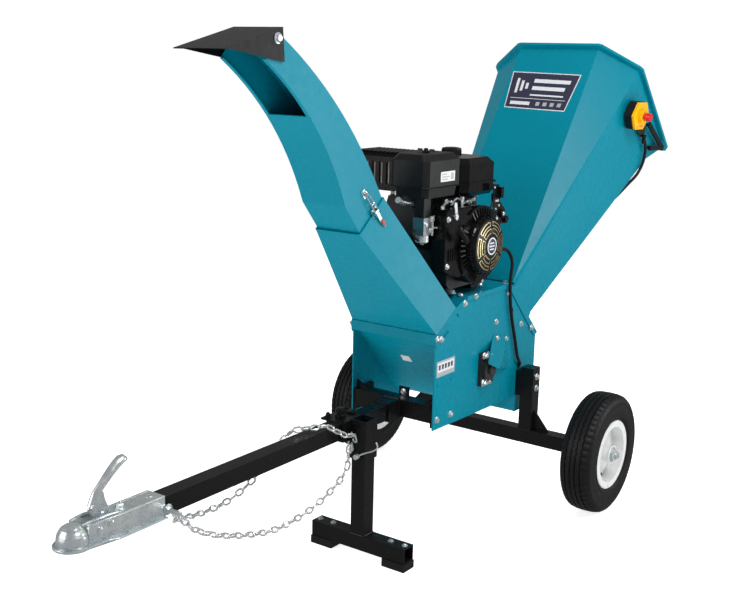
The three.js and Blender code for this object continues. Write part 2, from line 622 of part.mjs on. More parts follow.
function buildChuteBase() {
  const bottom = rectangle(PLATE_OUT + 4, [-565, 676], [-457, 745]);
  const top = rectangle(JOINT_HALF_WIDTH, onChute(0, -JOINT_HALF_DEPTH), onChute(0, JOINT_HALF_DEPTH));
  const innerBottom = rectangle(PLATE_OUT + 1, [-562.7, 678], [-459.4, 743.1]);
  const innerTop = rectangle(JOINT_HALF_WIDTH - 3, onChute(0, 3 - JOINT_HALF_DEPTH),
    onChute(0, JOINT_HALF_DEPTH - 3));
  const inside = loft(
    innerBottom.map((p, i) => between(p, innerTop[i], -0.08)),
    innerTop.map((p, i) => between(innerBottom[i], p, 1.05)));
  const parts = [cut(loft(bottom, top), inside)];

  // The flange that hangs over the side plates and the front edge of the body.
  const skirt = [[-570.3, 645], [-570.3, 678], [-565, 677.5], [-457, 746.5], [-398, 769], [-398, 740],
    [-457, frontSlope(-457) - 26], [-562, 634]];
  for (const [, side] of SIDES) {
    parts.push(prism('x', skirt, [side * (PLATE_OUT + GAP), side * SKIRT_OUT]));
  }
  parts.push(box([-SKIRT_OUT, SKIRT_OUT], [-570.3, BODY_FRONT - GAP], [645, 678]));
  const latchPin = [[90.5, ...onChute(1, 0)], [90.5, ...onChute(1, 32)]];
  for (const across of [3, 24.6]) {
    const ear = [onChute(-8, across), onChute(9, across), onChute(9, across + 3.6),
      onChute(-8, across + 3.6)];
    parts.push(prism('x', ear, [JOINT_HALF_WIDTH - 2, 95]));
  }
  const hole = rod(...latchPin, 3 + GAP);
  piece('chute_base', cut(join(...parts), hole, inside), TEAL);

  const knuckle = rod([90.5, ...onChute(1, 7.2)], [90.5, ...onChute(1, 24)], 4.5);
  const pin = rod([90.5, ...onChute(1, 3.4)], [90.5, ...onChute(1, 27.8)], 3);
  const tongue = prism('x', [onChute(2, 9), onChute(2, 23), onChute(-44, 21), onChute(-44, 11)], [90, 93]);
  const grip = prism('x', [onChute(-38, 10), onChute(-38, 22), onChute(-54, 20), onChute(-54, 12)], [92, 98]);
  piece('latch_lever', join(knuckle, pin, tongue, grip), LATCH_RED);
}

const DEFLECTOR_PIVOT = [-1230, 1556];

function buildChuteTop() {
  const half = JOINT_HALF_DEPTH - 6;
  const rear = [onChute(-66, half), ...bend(onChute(-6, half + 1), [-935, 1405], CHUTE_END_TOP, 14)];
  const knee = [-934, 1107];
  const front = [onChute(-66, -half), onChute(6, -half), knee,
    ...bend(knee, [-1037, 1358], CHUTE_END_BOTTOM, 14).slice(1)];
  const shell = prism('x', [...rear, ...front.slice().reverse()], [-UPPER_HALF_WIDTH, UPPER_HALF_WIDTH]);

  const extended = (line) => [between(line[1], line[0], 1.3), ...line.slice(1, -1),
    between(line[line.length - 2], line[line.length - 1], 1.9)];
  const inner = [...offset(extended(rear), SHEET), ...offset(extended(front), -SHEET).reverse()];
  const inside = prism('x', inner, [SHEET - UPPER_HALF_WIDTH, UPPER_HALF_WIDTH - SHEET]);
  // The concave front is open from a third of the way up to the outlet.
  const openPart = extended(front).slice(10);
  const opening = prism('x', [...offset(openPart, 30), ...offset(openPart, -12).reverse()],
    [12 - UPPER_HALF_WIDTH, UPPER_HALF_WIDTH - 12]);
  const pivotHoles = bar('x', DEFLECTOR_PIVOT, 3 + GAP, [-90, 90], 12);
  piece('chute_top', cut(shell, inside, opening, pivotHoles), TEAL);

  const tip = [-1431, 1532];
  const back = [-1213, 1589];
  const sheet = prism('x', ribbon([back, tip], 2.5), [-84, 84]);
  const cheeks = SIDES.map(([, side]) => prism('x', [back, tip, [-1404, 1531], [-1206, 1502]],
    [side * 81.3, side * 84]));
  const pins = SIDES.map(([, side]) => bar('x', DEFLECTOR_PIVOT, 3, [side * 75, side * 83], 12));
  const heads = SIDES.map(([, side]) => bar('x', DEFLECTOR_PIVOT, 7, [side * 83.5, side * 89], 6));
  piece('deflector', join(sheet, ...cheeks, ...pins, ...heads), SATIN_BLACK);
}

// ---------------------------------------------------------------- hopper

const slopePoint = (along, out) => [
  -100 + Math.SQRT1_2 * (along + out),
  BODY_TOP + Math.SQRT1_2 * (out - along)];
const slopeBlock = (x, [s0, s1], [n0, n1]) => prism('x',
  [slopePoint(s0, n0), slopePoint(s1, n0), slopePoint(s1, n1), slopePoint(s0, n1)], x);

/** A point [x, y, z] of the mouth plane from its half width, its distance down and its depth inwards. */
const mouthPoint = (x, down, depth) => [
  x,
  MOUTH_TOP_Y + MOUTH_FALL[0] * down + MOUTH_FALL[1] * depth,
  MOUTH_TOP_Z + MOUTH_FALL[1] * down - MOUTH_FALL[0] * depth];

const bothSides = (points) => [...points, ...points.slice().reverse().map(mirrored)];

function buildHopper() {
  // Three corner lines on the right: top edge, shoulder and lower edge, at the foot, the fold and the mouth.
  const foot = [[158, -74, 770], [165, -66, 762], [165, 53, 643]];
  const mouth = [[162, 497.3, 1574.1], [297, 570.9, 1496.6], [303, 852.3, 1200]];
  const fold = [between(foot[0], mouth[0], 0.83), between(foot[1], mouth[1], 0.83), [287, 710, 1156]];
  const inwards = [[-1.2, 2.4, -1.7], [-3, 1, -0.8], [-3, -1.85, 2.36]];
  const inset = (corners) => corners.map((p, i) => p.map((value, k) => value + inwards[i][k]));
  const past = (from, to, fraction) => to.map((p, i) => between(from[i], p, fraction));
  const outer = loft(bothSides(foot), bothSides(fold), bothSides(mouth));
  const [innerFoot, innerFold, innerMouth] = [foot, fold, mouth].map(inset);
  const inner = loft(bothSides(past(innerFold, innerFoot, 1.04)), bothSides(innerFold),
    bothSides(past(innerFold, innerMouth, 1.2)));

  const lipRing = (depth) => bothSides([
    mouthPoint(162, 0, depth), mouthPoint(176, 4, depth), mouthPoint(303, 109, depth),
      mouthPoint(311, 122, depth),
    mouthPoint(318, 532, depth), mouthPoint(308, MOUTH_LENGTH, depth)]);
  const lip = loft(lipRing(LIP_DEPTH), lipRing(0));

  const collar = cut(slopeBlock([-SKIRT_OUT, SKIRT_OUT], [22, 200], [0.5, 20]),
    slopeBlock([-161, 161], [26, 197], [0, 30]));
  const covers = [[0, 23], [199, 300]].map((along) => slopeBlock([-SKIRT_OUT, SKIRT_OUT], along, [GAP, 4.3]));
  const wings = SIDES.map(([, side]) => prism('x',
    [slopePoint(0, 4), slopePoint(300, 4), slopePoint(290, -18), slopePoint(14, -14)],
    [side * (PLATE_OUT + GAP), side * SKIRT_OUT]));
  piece('hopper', cut(join(outer, lip, collar, ...covers, ...wings), inner), TEAL);
}

// ---------------------------------------------------------------- stop switch on the hopper's right wall

const STOP_CENTRE = [289, 541, 1331];
const WALL_OUT = [0.989, -0.104, -0.104];
const WALL_REAR = [0.1048, 0.9945, 0];
const WALL_UP = [0.1034, -0.0109, 0.9945];
const onWall = ([rear, up], out) => STOP_CENTRE.map(
  (value, k) => value + rear * WALL_REAR[k] + up * WALL_UP[k] + out * WALL_OUT[k]);
const wallBlock = (outline, from, to) => loft(
  outline.map((p) => onWall(p, from)), outline.map((p) => onWall(p, to)));

function buildStop() {
  const hexagon = (radius) => circle([0, 0], radius, 6);
  const round = (radius) => circle([0, 0], radius, 20);
  const foot = wallBlock([[34, -12], [60, -20], [112, -56], [112, -86], [84, -86], [18, -38]], 0.6, 6);
  const stem = wallBlock(round(9), 16, 40);
  piece('estop_box', cut(join(wallBlock(hexagon(58), 0.6, 30), foot), stem), SATIN_BLACK);
  const cover = join(wallBlock(hexagon(57), 30.3, 40), wallBlock(round(26), 39, 52));
  piece('estop_cover', cut(cover, wallBlock(round(9), 29, 60)), YELLOW);
  piece('estop_button', join(wallBlock(round(8.5), 22, 60), wallBlock(round(15), 59, 78)), RED);

  const strip = (from, to) => {
    const length = Math.hypot(to[0] - from[0], to[1] - from[1]);
    const [a, b] = [(to[0] - from[0]) / length, (to[1] - from[1]) / length];
    const corner = (p, along, aside) => [p[0] + a * along - b * aside, p[1] + b * along + a * aside];
    return wallBlock([corner(from, -9, 9), corner(to, 9, 9), corner(to, 9, -9), corner(from, -9, -9)], 10,
      18);
  };
  const bends = [[126, -42], [254, -133], [164, -131]];
  const posts = [bends[0], bends[2]].map((p) => rod(onWall(p, 0.6), onWall(p, 12), 7));
  piece('hopper_handle', join(strip(bends[0], bends[1]), strip(bends[1], bends[2]), ...posts), SATIN_BLACK);

  // Out of the box, under the hopper floor, in behind the body and out through the hole in the side plate.
  const [holeY, holeZ] = CABLE_HOLE;
  const route = [[303, 642, 1240], [300, 668, 1200], [294, 672, 1150], [281, 652, 1101], [262, 610, 1062],
    [232, 560, 1010], [180, 460, 930], [110, 300, 790], [60, 200, 690], [50, 150, 600], [56, 110, 510],
    [82, 70, 466], [118, 22, holeZ], [146, holeY, holeZ], [164, holeY, holeZ], [173, -24, 474],
    [172, -43, 506], [172, -64, 565], [172, -93, 642], [173, -115, 716], [174, -122, 787],
    [174, -116, 848], [166, -135, 889], [150, -172, 900]];
  piece('estop_cable', cord(route, 4.5, 8, 60), SATIN_BLACK);
}

// ---------------------------------------------------------------- engine

const CYLINDER_AXIS = [-0.906, 0.423]; // outwards from the crankshaft, in Y and Z
const onCylinder = (out, across) => [
  CRANK_Y + CYLINDER_AXIS[0] * out + CYLINDER_AXIS[1] * across,
  CRANK_Z + CYLINDER_AXIS[1] * out - CYLINDER_AXIS[0] * across];
const cylinderBlock = (x, [out0, out1], half) => prism('x',
  [onCylinder(out0, -half), onCylinder(out1, -half), onCylinder(out1, half), onCylinder(out0, half)], x);

function buildEngineBlock() {
  const crankcase = prism('x', [[-430, 810], [-410, 790], [-235, 790], [-215, 810], [-215, 985], [-250, 1010],
    [-390, 1010], [-430, 985]], [-108, 108]);
  const feet = [-400, -245].map((y) => box([-104, 104], [y - 22, y + 22], [BED_TOP + GAP, 795]));
  const barrel = cylinderBlock([-55, 55], [95, 236], 52);
  const fins = Array.from({ length: 8 }, (_, i) =>
    cylinderBlock([-76, 76], [128 + 13 * i, 132.5 + 13 * i], 72));
  const head = cylinderBlock([-66, 66], [228, 246], 60);
  const brackets = [-85, 85].map((x) => box([x - 6, x + 6], [-372, -230], [1005, 1089.5]));
  const bore = bar('x', [CRANK_Y, CRANK_Z], CRANK_RADIUS + GAP, [-120, 120]);
  piece('engine_block', cut(join(crankcase, ...feet, barrel, ...fins, head, ...brackets), bore),
    ENGINE_BLACK);

  piece('crankshaft', bar('x', [CRANK_Y, CRANK_Z], CRANK_RADIUS, [-242, 150]), STEEL);
  const wheel = [[CRANK_RADIUS + GAP, 113], [86, 113], [86, 132], [78, 132], [78, 122], [30, 122], [30, 142],
    [CRANK_RADIUS + GAP, 142]];
  piece('flywheel', turned(wheel, [CRANK_Y, CRANK_Z], 36), CAST_IRON);
}

function buildShroud() {
  const crank = [CRANK_Y, CRANK_Z];
  const duct = [[-440, 842], [-528, 872], [-528, 1046], [-505, 1062], [-380, 1062], [-330, 1040],
    [-330, 860]];
  const ductInside = [[-438, 846], [-524, 875], [-524, 1044], [-503, 1058], [-382, 1058], [-334, 1038],
    [-334, 864]];
  const outside = join(bar('x', crank, 128, [108.5, 165], 40), prism('x', duct, [108.5, 158]));
  const inside = join(bar('x', crank, 124, [100, 162], 40), prism('x', ductInside, [100, 155]));
  piece('fan_shroud', cut(outside, inside, bar('x', crank, 84, [150, 170], 40)), ENGINE_BLACK);

  const dish = [[82, 165.3], [96, 165.3], [94, 182], [84, 192], [46, 197], [40, 203], [12, 205], [12, 201],
    [38, 199], [44, 193], [82, 188], [89, 180], [90, 169], [82, 169]];
  piece('recoil_starter', turned(dish, crank, 40), ENGINE_BLACK);
  const pull = [0.5, -0.75, 0.43];
  const gripEnd = (along, across) => [184 + pull[0] * along, -450 + pull[1] * along,
    985 + pull[2] * along + across];
  piece('starter_grip', join(rod(gripEnd(-6, 0), gripEnd(12, 0), 6),
    rod(gripEnd(18, -26), gripEnd(18, 26), 9.5, 14)),
    SATIN_BLACK);
  const lever = [[-476, 1040], [-464, 1040], [-470, 1082], [-482, 1086], [-486, 1076]];
  const hub = bar('x', [-470, 1038], 9, [158.3, 164], 14);
  piece('throttle_lever', join(prism('x', lever, [159.5, 162.5]), hub), ZINC);
}

function buildTank() {
  const outline = (inset) => {
    const [x0, x1, y0, y1] = [-200 + inset, 140 - inset, -388 + inset, -190 - inset];
    const c = 22;
    return [[x0 + c, y0], [x1 - c, y0], [x1, y0 + c], [x1, y1 - c], [x1 - c, y1], [x0 + c, y1], [x0, y1 - c],
      [x0, y0 + c]];
  };
  const capCentre = [60, -350];
  const ring = (inset, z) => outline(inset).map(([x, y]) => [x, y, z]);
  const shell = loft(ring(8, 1090), ring(0, 1102), ring(0, 1192), ring(16, 1210));
  const seam = loft(ring(-6, 1128), ring(-6, 1134));
  const neck = bar('z', capCentre, 24, [1200, 1222]);
  const inside = loft(ring(12, 1094), ring(4, 1106), ring(4, 1190), ring(20, 1206));
  const filler = bar('z', capCentre, 20, [1150, 1230]);
  piece('fuel_tank', cut(join(shell, seam, neck), inside, filler), ENGINE_BLACK);
  const cap = cut(bar('z', capCentre, 31, [1213.5, 1240], 28), bar('z', capCentre, 24 + GAP, [1200, 1222.3]));
  piece('fuel_cap', cap, SATIN_BLACK);
}

function buildIntake() {
  const corner = (inset, z) => {
    const [x0, x1, y0, y1] = [-10 + inset, 130 - inset, -597 + inset, -396 - inset];
    const c = 16;
    return [[x0 + c, y0], [x1 - c, y0], [x1, y0 + c], [x1, y1 - c], [x1 - c, y1], [x0 + c, y1], [x0, y1 - c],
      [x0, y0 + c]].map(([x, y]) => [x, y, z]);
  };
  const cover = loft(corner(0, 1130), corner(0, 1214), corner(14, 1233));
  const base = loft(corner(10, 1100), corner(6, 1131));
  const elbow = box([84, 116], [-588, -550], [1042, 1101]);
  piece('air_cleaner', join(cover, base, elbow), SATIN_BLACK);
  const throat = box([80, 120], [-592, -546], [988, 1041.7]);
  const bowl = turnedUp([[0, 960], [15, 962], [20, 968], [20, 990], [0, 990]], [100, -569]);
  piece('carburettor', join(throat, bowl), STEEL);
}

function buildMuffler() {
  const can = [[-536, 1125], [-524, 1116], [-418, 1116], [-406, 1125], [-406, 1208], [-418, 1217],
    [-524, 1217],
    [-536, 1208]];
  const pipe = box([-70, -30], [-500, -450], [1093.5, 1118]);
  const canInside = [[-533, 1127], [-523, 1119], [-419, 1119], [-409, 1127], [-409, 1206], [-419, 1214],
    [-523, 1214], [-533, 1206]];
  const outlet = [-440, 1180];
  piece('muffler', cut(join(prism('x', can, [-182, -22]), pipe), prism('x', canInside, [-179, -25]),
    bar('x', outlet, 12, [-195, -170], 16)), STEEL);
  const outer = [[-543, 1108], [-543, 1214], [-530, 1228], [-412, 1228], [-398, 1214], [-398, 1108]];
  const guard = cut(prism('x', outer, [-190, -14]),
    prism('x', [[-540, 1100], [-540, 1212.6], [-528.6, 1225], [-413.4, 1225], [-401, 1212.6], [-401, 1100]],
      [-187, -17]));
  const slots = Array.from({ length: 6 }, (_, i) =>
    box([-168 + 27 * i, -156 + 27 * i], [-600, -535], [1130, 1196]));
  const outletHole = bar('x', outlet, 18, [-195, -180], 16);
  piece('muffler_guard', cut(guard, ...slots, outletHole), SATIN_BLACK);
}

// ---------------------------------------------------------------- the whole machine

buildAxleFrame();
for (const [label, side] of SIDES) buildWheel(label, side);
buildFrontFrame();
buildCoupler();
buildLeg();
buildChains();
buildSidePlates();
buildEngineBed();
buildCasings();
buildFeed();
buildRotor();
buildDrive();
buildBearingGuard();
buildChuteBase();
buildChuteTop();
buildHopper();
buildStop();
buildEngineBlock();
buildShroud();
buildTank();
buildIntake();
buildMuffler();

chipper.position.y = AXLE_Y;

export default chipper;
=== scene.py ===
"""Looks of a towed wood chipper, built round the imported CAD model.

Places are given in millimetres from the point on the ground under the axle, +Z up, -Y the towing
direction and +X the machine's right; at() turns them into metres in the frame of the CAD model.
"""

import math
import random

import bmesh
import bpy
from mathutils import Matrix, Vector


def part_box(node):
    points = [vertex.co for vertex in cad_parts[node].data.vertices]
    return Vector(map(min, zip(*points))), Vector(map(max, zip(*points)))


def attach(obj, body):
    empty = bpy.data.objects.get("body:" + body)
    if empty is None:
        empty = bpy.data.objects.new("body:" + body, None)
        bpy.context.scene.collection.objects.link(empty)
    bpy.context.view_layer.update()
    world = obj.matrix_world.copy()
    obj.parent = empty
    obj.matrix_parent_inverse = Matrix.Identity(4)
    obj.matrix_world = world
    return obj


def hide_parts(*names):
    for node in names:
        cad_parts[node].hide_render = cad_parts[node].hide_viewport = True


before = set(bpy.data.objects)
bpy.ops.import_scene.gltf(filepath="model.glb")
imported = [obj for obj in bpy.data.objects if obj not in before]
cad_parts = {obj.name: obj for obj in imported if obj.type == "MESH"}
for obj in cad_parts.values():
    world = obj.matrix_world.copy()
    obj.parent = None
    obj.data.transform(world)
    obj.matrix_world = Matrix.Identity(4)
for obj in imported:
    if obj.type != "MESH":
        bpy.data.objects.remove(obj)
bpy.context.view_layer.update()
random.seed(7)

MM = 0.001
RIGHT, REAR, UP = Vector((1, 0, 0)), Vector((0, 1, 0)), Vector((0, 0, 1))
tyre_low, tyre_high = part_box("tyre_right")
AXLE_Y = (tyre_low.y + tyre_high.y) / 2
TYRE_RADIUS = (tyre_high.z - tyre_low.z) / 2 / MM
WHEEL_X = (tyre_low.x + tyre_high.x) / 2 / MM


def at(x, y, z):
    return Vector((x * MM, y * MM + AXLE_Y, z * MM))


# ---------------- camera, light and floor

FOCAL_MM = 53.2
CAMERA_PLACE = at(1950.35, -3407.61, 1523.8)
AZIMUTH, PITCH, ROLL = (math.radians(a) for a in (35.47, 12.76, -1.29))


def add_camera():
    data = bpy.data.cameras.new("camera")
    data.lens = FOCAL_MM
    data.sensor_width = 36.0
    data.clip_end = 100
    camera = bpy.data.objects.new("camera", data)
    bpy.context.scene.collection.objects.link(camera)
    level = Vector((math.cos(AZIMUTH), math.sin(AZIMUTH), 0))
    ahead = UP.cross(level) * math.cos(PITCH) - UP * math.sin(PITCH)
    upright = level.cross(ahead)
    right = level * math.cos(ROLL) - upright * math.sin(ROLL)
    up = level * math.sin(ROLL) + upright * math.cos(ROLL)
    turn = Matrix((right, up, -ahead)).transposed().to_4x4()
    camera.matrix_world = Matrix.Translation(CAMERA_PLACE) @ turn
    bpy.context.scene.camera = camera


def add_area_light(name, place, target, size, power, glossy=True):
    data = bpy.data.lights.new(name, "AREA")
    data.shape = "RECTANGLE"
    data.size, data.size_y = size
    data.energy = power
    light = bpy.data.objects.new(name, data)
    bpy.context.scene.collection.objects.link(light)
    light.location = place
    light.rotation_euler = (Vector(target) - Vector(place)).to_track_quat("-Z", "Y").to_euler()
    light.visible_camera = False
    light.visible_glossy = glossy


def add_studio():
    world = bpy.data.worlds.new("studio")
    world.use_nodes = True
    background = world.node_tree.nodes["Background"]
    background.inputs["Color"].default_value = (1, 1, 1, 1)
    background.inputs["Strength"].default_value = 0.22
    bpy.context.scene.world = world
    bpy.context.scene.view_settings.view_transform = "Standard"
    middle = (0, 0.1, 0.8)
    add_area_light("key", (-1.8, -4.2, 1.7), middle, (2.6, 2.6), 68)
    add_area_light("side", (4.3, -1.2, 1.3), middle, (2.4, 2.4), 5, glossy=False)
    add_area_light("top", (0.0, 0.4, 4.6), middle, (3.0, 3.0), 34, glossy=False)
    add_area_light("upper_right", (2.2, -0.5, 3.3), (0.2, 0.25, 1.2), (1.2, 1.7), 84)
    add_area_light("right_rear", (2.7, 2.35, 0.95), (0, -0.4, 1.0), (1.1, 1.7), 26)
    add_area_light("back", (-1.6, 4.6, 2.6), middle, (3.0, 2.4), 110, glossy=False)
    add_area_light("left", (-4.3, 0.4, 1.5), middle, (2.4, 2.4), 50, glossy=False)


FLOOR_HALF = 30
FLOOR_Z = -0.0005
DOME_RADIUS = 28


def add_stage_piece(mesh, material, unseen_by):
    """Adds a mesh that is part of the stage and that some kinds of light rays pass through."""
    mesh.materials.append(material)
    thing = bpy.data.objects.new(mesh.name, mesh)
    bpy.context.scene.collection.objects.link(thing)
    for kind in unseen_by:
        setattr(thing, f"visible_{kind}", False)


def add_floor():
    """A pale floor lit like a light table, inside a white dome that only the camera sees."""
    floor = bpy.data.meshes.new("floor")
    corners = [(x * FLOOR_HALF, y * FLOOR_HALF, FLOOR_Z) for x, y in ((-1, -1), (1, -1), (1, 1), (-1, 1))]
    floor.from_pydata(corners, [], [(0, 1, 2, 3)])
    add_stage_piece(floor, FLOOR, ["glossy"])
    dome = bpy.data.meshes.new("backdrop")
    ball = bmesh.new()
    bmesh.ops.create_icosphere(ball, subdivisions=4, radius=DOME_RADIUS)
    ball.to_mesh(dome)
    ball.free()
    add_stage_piece(dome, BACKDROP, ["diffuse", "glossy", "transmission", "volume_scatter", "shadow"])


# ---------------- materials


class Nodes:
    """Short calls for building one material's nodes."""

    def __init__(self, name):
        self.material = bpy.data.materials.new(name)
        self.material.use_nodes = True
        self.tree = self.material.node_tree
        self.shader = self.tree.nodes["Principled BSDF"]
        self.place = self.add("ShaderNodeTexCoord").outputs["Object"]

    def add(self, kind, **inputs):
        node = self.tree.nodes.new(kind)
        for name, value in inputs.items():
            node.inputs[name].default_value = value
        return node

    def link(self, source, target):
        self.tree.links.new(source, target)

    def noise(self, scale, detail=3.0, stretch=None):
        node = self.add("ShaderNodeTexNoise", Scale=scale, Detail=detail, Roughness=0.55)
        place = self.place
        if stretch:
            mapping = self.add("ShaderNodeMapping", Scale=stretch)
            self.link(place, mapping.inputs["Vector"])
            place = mapping.outputs["Vector"]
        self.link(place, node.inputs["Vector"])
        return node.outputs["Fac"]

    def colour(self, source, stops):
        """Drives the base colour through a ramp of (position, colour) stops."""
        node = self.add("ShaderNodeValToRGB")
        elements = node.color_ramp.elements
        while len(elements) < len(stops):
            elements.new(0.5)
        for element, (position, colour) in zip(elements, stops):
            element.position = position
            element.color = (*colour, 1)
        self.link(source, node.inputs["Fac"])
        self.link(node.outputs["Color"], self.shader.inputs["Base Color"])

    def roughness(self, source, low, high):
        """Spreads the roughness between two values; most of a noise lies between 0.3 and 0.7."""
        node = self.add("ShaderNodeMapRange")
        for name, value in (("From Min", 0.3), ("From Max", 0.7), ("To Min", low), ("To Max", high)):
            node.inputs[name].default_value = value
        self.link(source, node.inputs["Value"])
        self.link(node.outputs["Result"], self.shader.inputs["Roughness"])

    def bump(self, source, strength, distance):
        node = self.add("ShaderNodeBump", Strength=strength, Distance=distance)
        self.link(source, node.inputs["Height"])
        self.link(node.outputs["Normal"], self.shader.inputs["Normal"])

    def set(self, **values):
        """Sets inputs of the shader, with an underscore for each space in their names."""
        for key, value in values.items():
            self.shader.inputs[key.replace("_", " ")].default_value = value


def tint(colour, factor):
    return tuple(min(1.0, c * factor) for c in colour)


def painted(name, colour, roughness, coat=0.0, variation=0.06, peel=0.12, peel_scale=420.0, shine=0.5,
            glow=0.0):
    """Paint or powder coat: slight cloudiness, uneven gloss and a fine orange-peel skin."""
    nodes = Nodes(name)
    dull, bright = tint(colour, 1 - variation), tint(colour, 1 + variation)
    nodes.colour(nodes.noise(3.2, 4), [(0.3, dull), (0.7, bright)])
    nodes.roughness(nodes.noise(38), roughness - 0.045, roughness + 0.045)
    nodes.bump(nodes.noise(peel_scale, 2), peel, 0.0003)
    nodes.set(Coat_Weight=coat, Coat_Roughness=0.12, Specular_IOR_Level=shine)
    if glow:
        nodes.set(Emission_Color=(1, 1, 1, 1), Emission_Strength=glow)
    return nodes.material


def metal(name, colour, roughness, variation=0.14, stretch=None, tarnish=None, scale=26.0, metallic=1.0):
    """Plated or bare metal: cloudy reflectance, rubbed streaks and fine pits."""
    nodes = Nodes(name)
    stops = [(0.25, tint(colour, 1 - variation)), (0.55, colour), (0.8, tint(colour, 1 + variation))]
    if tarnish:
        stops.insert(1, (0.4, tarnish))
    nodes.colour(nodes.noise(scale, 5, stretch), stops)
    nodes.roughness(nodes.noise(scale * 4, 4, stretch), roughness - 0.08, roughness + 0.1)
    nodes.bump(nodes.noise(scale * 24, 3, stretch), 0.12, 0.0003)
    nodes.set(Metallic=metallic)
    return nodes.material


def moulded(name, colour, roughness, grain_scale=900.0, grain=0.25, shine=0.3):
    """Moulded plastic or rubber with a fine grain."""
    nodes = Nodes(name)
    nodes.colour(nodes.noise(14, 4), [(0.3, tint(colour, 0.82)), (0.7, tint(colour, 1.2))])
    nodes.roughness(nodes.noise(60), roughness - 0.07, roughness + 0.07)
    cells = nodes.add("ShaderNodeTexVoronoi", Scale=grain_scale)
    nodes.link(nodes.place, cells.inputs["Vector"])
    nodes.bump(cells.outputs["Distance"], grain, 0.0002)
    nodes.set(Specular_IOR_Level=shine)
    return nodes.material


def cast(name, colour, roughness, metallic):
    """Sand-cast or die-cast surface with a coarse skin."""
    nodes = Nodes(name)
    nodes.colour(nodes.noise(30, 5), [(0.3, tint(colour, 0.75)), (0.7, tint(colour, 1.25))])
    nodes.roughness(nodes.noise(90, 4), roughness - 0.1, roughness + 0.1)
    nodes.bump(nodes.noise(520, 4), 0.4, 0.0005)
    nodes.set(Metallic=metallic)
    return nodes.material


def glowing(name, colour, strength):
    nodes = Nodes(name)
    nodes.set(Base_Color=(0, 0, 0, 1), Emission_Color=(*colour, 1), Emission_Strength=strength)
    return nodes.material


TEAL = painted("teal_powder_coat", (0.0004, 0.188, 0.262), 0.28, variation=0.035, peel=0.03, shine=0.12)
FRAME_BLACK = painted("black_powder_coat", (0.0048, 0.0048, 0.005), 0.3, variation=0.15, peel=0.22,
                      peel_scale=640, shine=0.25)
SHEET_BLACK = painted("black_sheet_coat", (0.0036, 0.0036, 0.0038), 0.2, variation=0.12, peel=0.1,
                      peel_scale=500, shine=0.1)
GLOSS_BLACK = painted("black_gloss_paint", (0.003, 0.003, 0.0032), 0.13, variation=0.1, peel=0.03,
                      shine=0.28)
RIM_WHITE = painted("white_gloss_paint", (0.66, 0.67, 0.67), 0.3, coat=0.2, variation=0.02, peel=0.08)
YELLOW = painted("yellow_gloss_plastic", (0.9, 0.42, 0.003), 0.28, coat=0.1, variation=0.04, peel=0.05,
                 shine=0.3)
RED = painted("red_gloss_plastic", (0.62, 0.012, 0.01), 0.22, coat=0.3, variation=0.05, peel=0.04)
TIP_RED = painted("red_dipped_plastic", (0.36, 0.045, 0.04), 0.45, variation=0.1)
STICKER_WHITE = painted("pale_sticker", (0.62, 0.64, 0.66), 0.35, variation=0.04, peel=0.02)
PLAQUE_BLUE = painted("dark_plaque", (0.028, 0.027, 0.055), 0.3, coat=0.1, variation=0.08, peel=0.03)
PLAQUE_GREY = painted("grey_sticker", (0.33, 0.36, 0.38), 0.35, variation=0.05, peel=0.02)
ZINC = metal("zinc_plate", (0.70, 0.745, 0.74), 0.27, variation=0.05, tarnish=(0.61, 0.67, 0.71), scale=14,
             metallic=0.75)
CHAIN_ZINC = metal("zinc_chain", (0.8, 0.81, 0.82), 0.26, scale=60, metallic=0.72)
STEEL = metal("ground_steel", (0.42, 0.43, 0.44), 0.3, stretch=(1, 18, 18))
EXHAUST = metal("heated_steel", (0.23, 0.215, 0.2), 0.42, tarnish=(0.2, 0.15, 0.1))
BRASS = metal("gold_plate", (0.72, 0.62, 0.34), 0.3)
ALLOY = cast("cast_alloy", (0.40, 0.41, 0.42), 0.42, 1.0)
CAST_BLACK = cast("black_casting", (0.014, 0.014, 0.015), 0.46, 0.0)
CAST_IRON = cast("cast_iron", (0.05, 0.05, 0.052), 0.55, 0.6)
BLACK_PLASTIC = moulded("black_plastic", (0.0085, 0.0087, 0.009), 0.4, shine=0.25)
SOFT_PLASTIC = moulded("satin_black_plastic", (0.0045, 0.0045, 0.0047), 0.24, grain=0.06, shine=0.22)
RUBBER = moulded("black_rubber", (0.007, 0.007, 0.0073), 0.6, grain_scale=1400, shine=0.25)
TYRE = moulded("tyre_rubber", (0.0058, 0.0058, 0.006), 0.5, grain_scale=700, grain=0.35, shine=0.25)
FLOOR = painted("pale_floor", (0.9, 0.9, 0.9), 0.6, variation=0.004, peel=0.01, shine=0.1, glow=0.8)
BACKDROP = glowing("white_backdrop", (1, 1, 1), 1.0)

NODE_LOOKS = {
    TEAL: "side_plate_left side_plate_right rotor_casing rotor_hood engine_bed rear_panel feed_floor "
          "bearing_guard belt_guard chute_base chute_top hopper",
    FRAME_BLACK: "axle_frame front_crossmember drawbar leg_bracket support_leg hopper_handle",
    SHEET_BLACK: "deflector muffler_guard",
    GLOSS_BLACK: "fan_shroud fuel_tank recoil_starter",
    CAST_BLACK: "engine_block bearing_left bearing_right",
    BLACK_PLASTIC: "air_cleaner fuel_cap estop_box starter_grip",
    ZINC: "coupler_body coupler_lever leg_clamp_screw hub_nut_left hub_nut_right throttle_lever latch_lever "
          "safety_chain_left safety_chain_right",
    STEEL: "coupler_jaw bed_knife knife_1 knife_2 crankshaft",
    CAST_IRON: "rotor_drum rotor_pulley clutch_pulley flywheel",
    RUBBER: "foot_pad_left foot_pad_right drive_belt estop_cable",
    TYRE: "tyre_left tyre_right",
    RIM_WHITE: "rim_left rim_right",
    YELLOW: "estop_cover",
    RED: "estop_button",
    ALLOY: "carburettor",
    EXHAUST: "muffler",
}
SHEET_EDGE = 0.0012
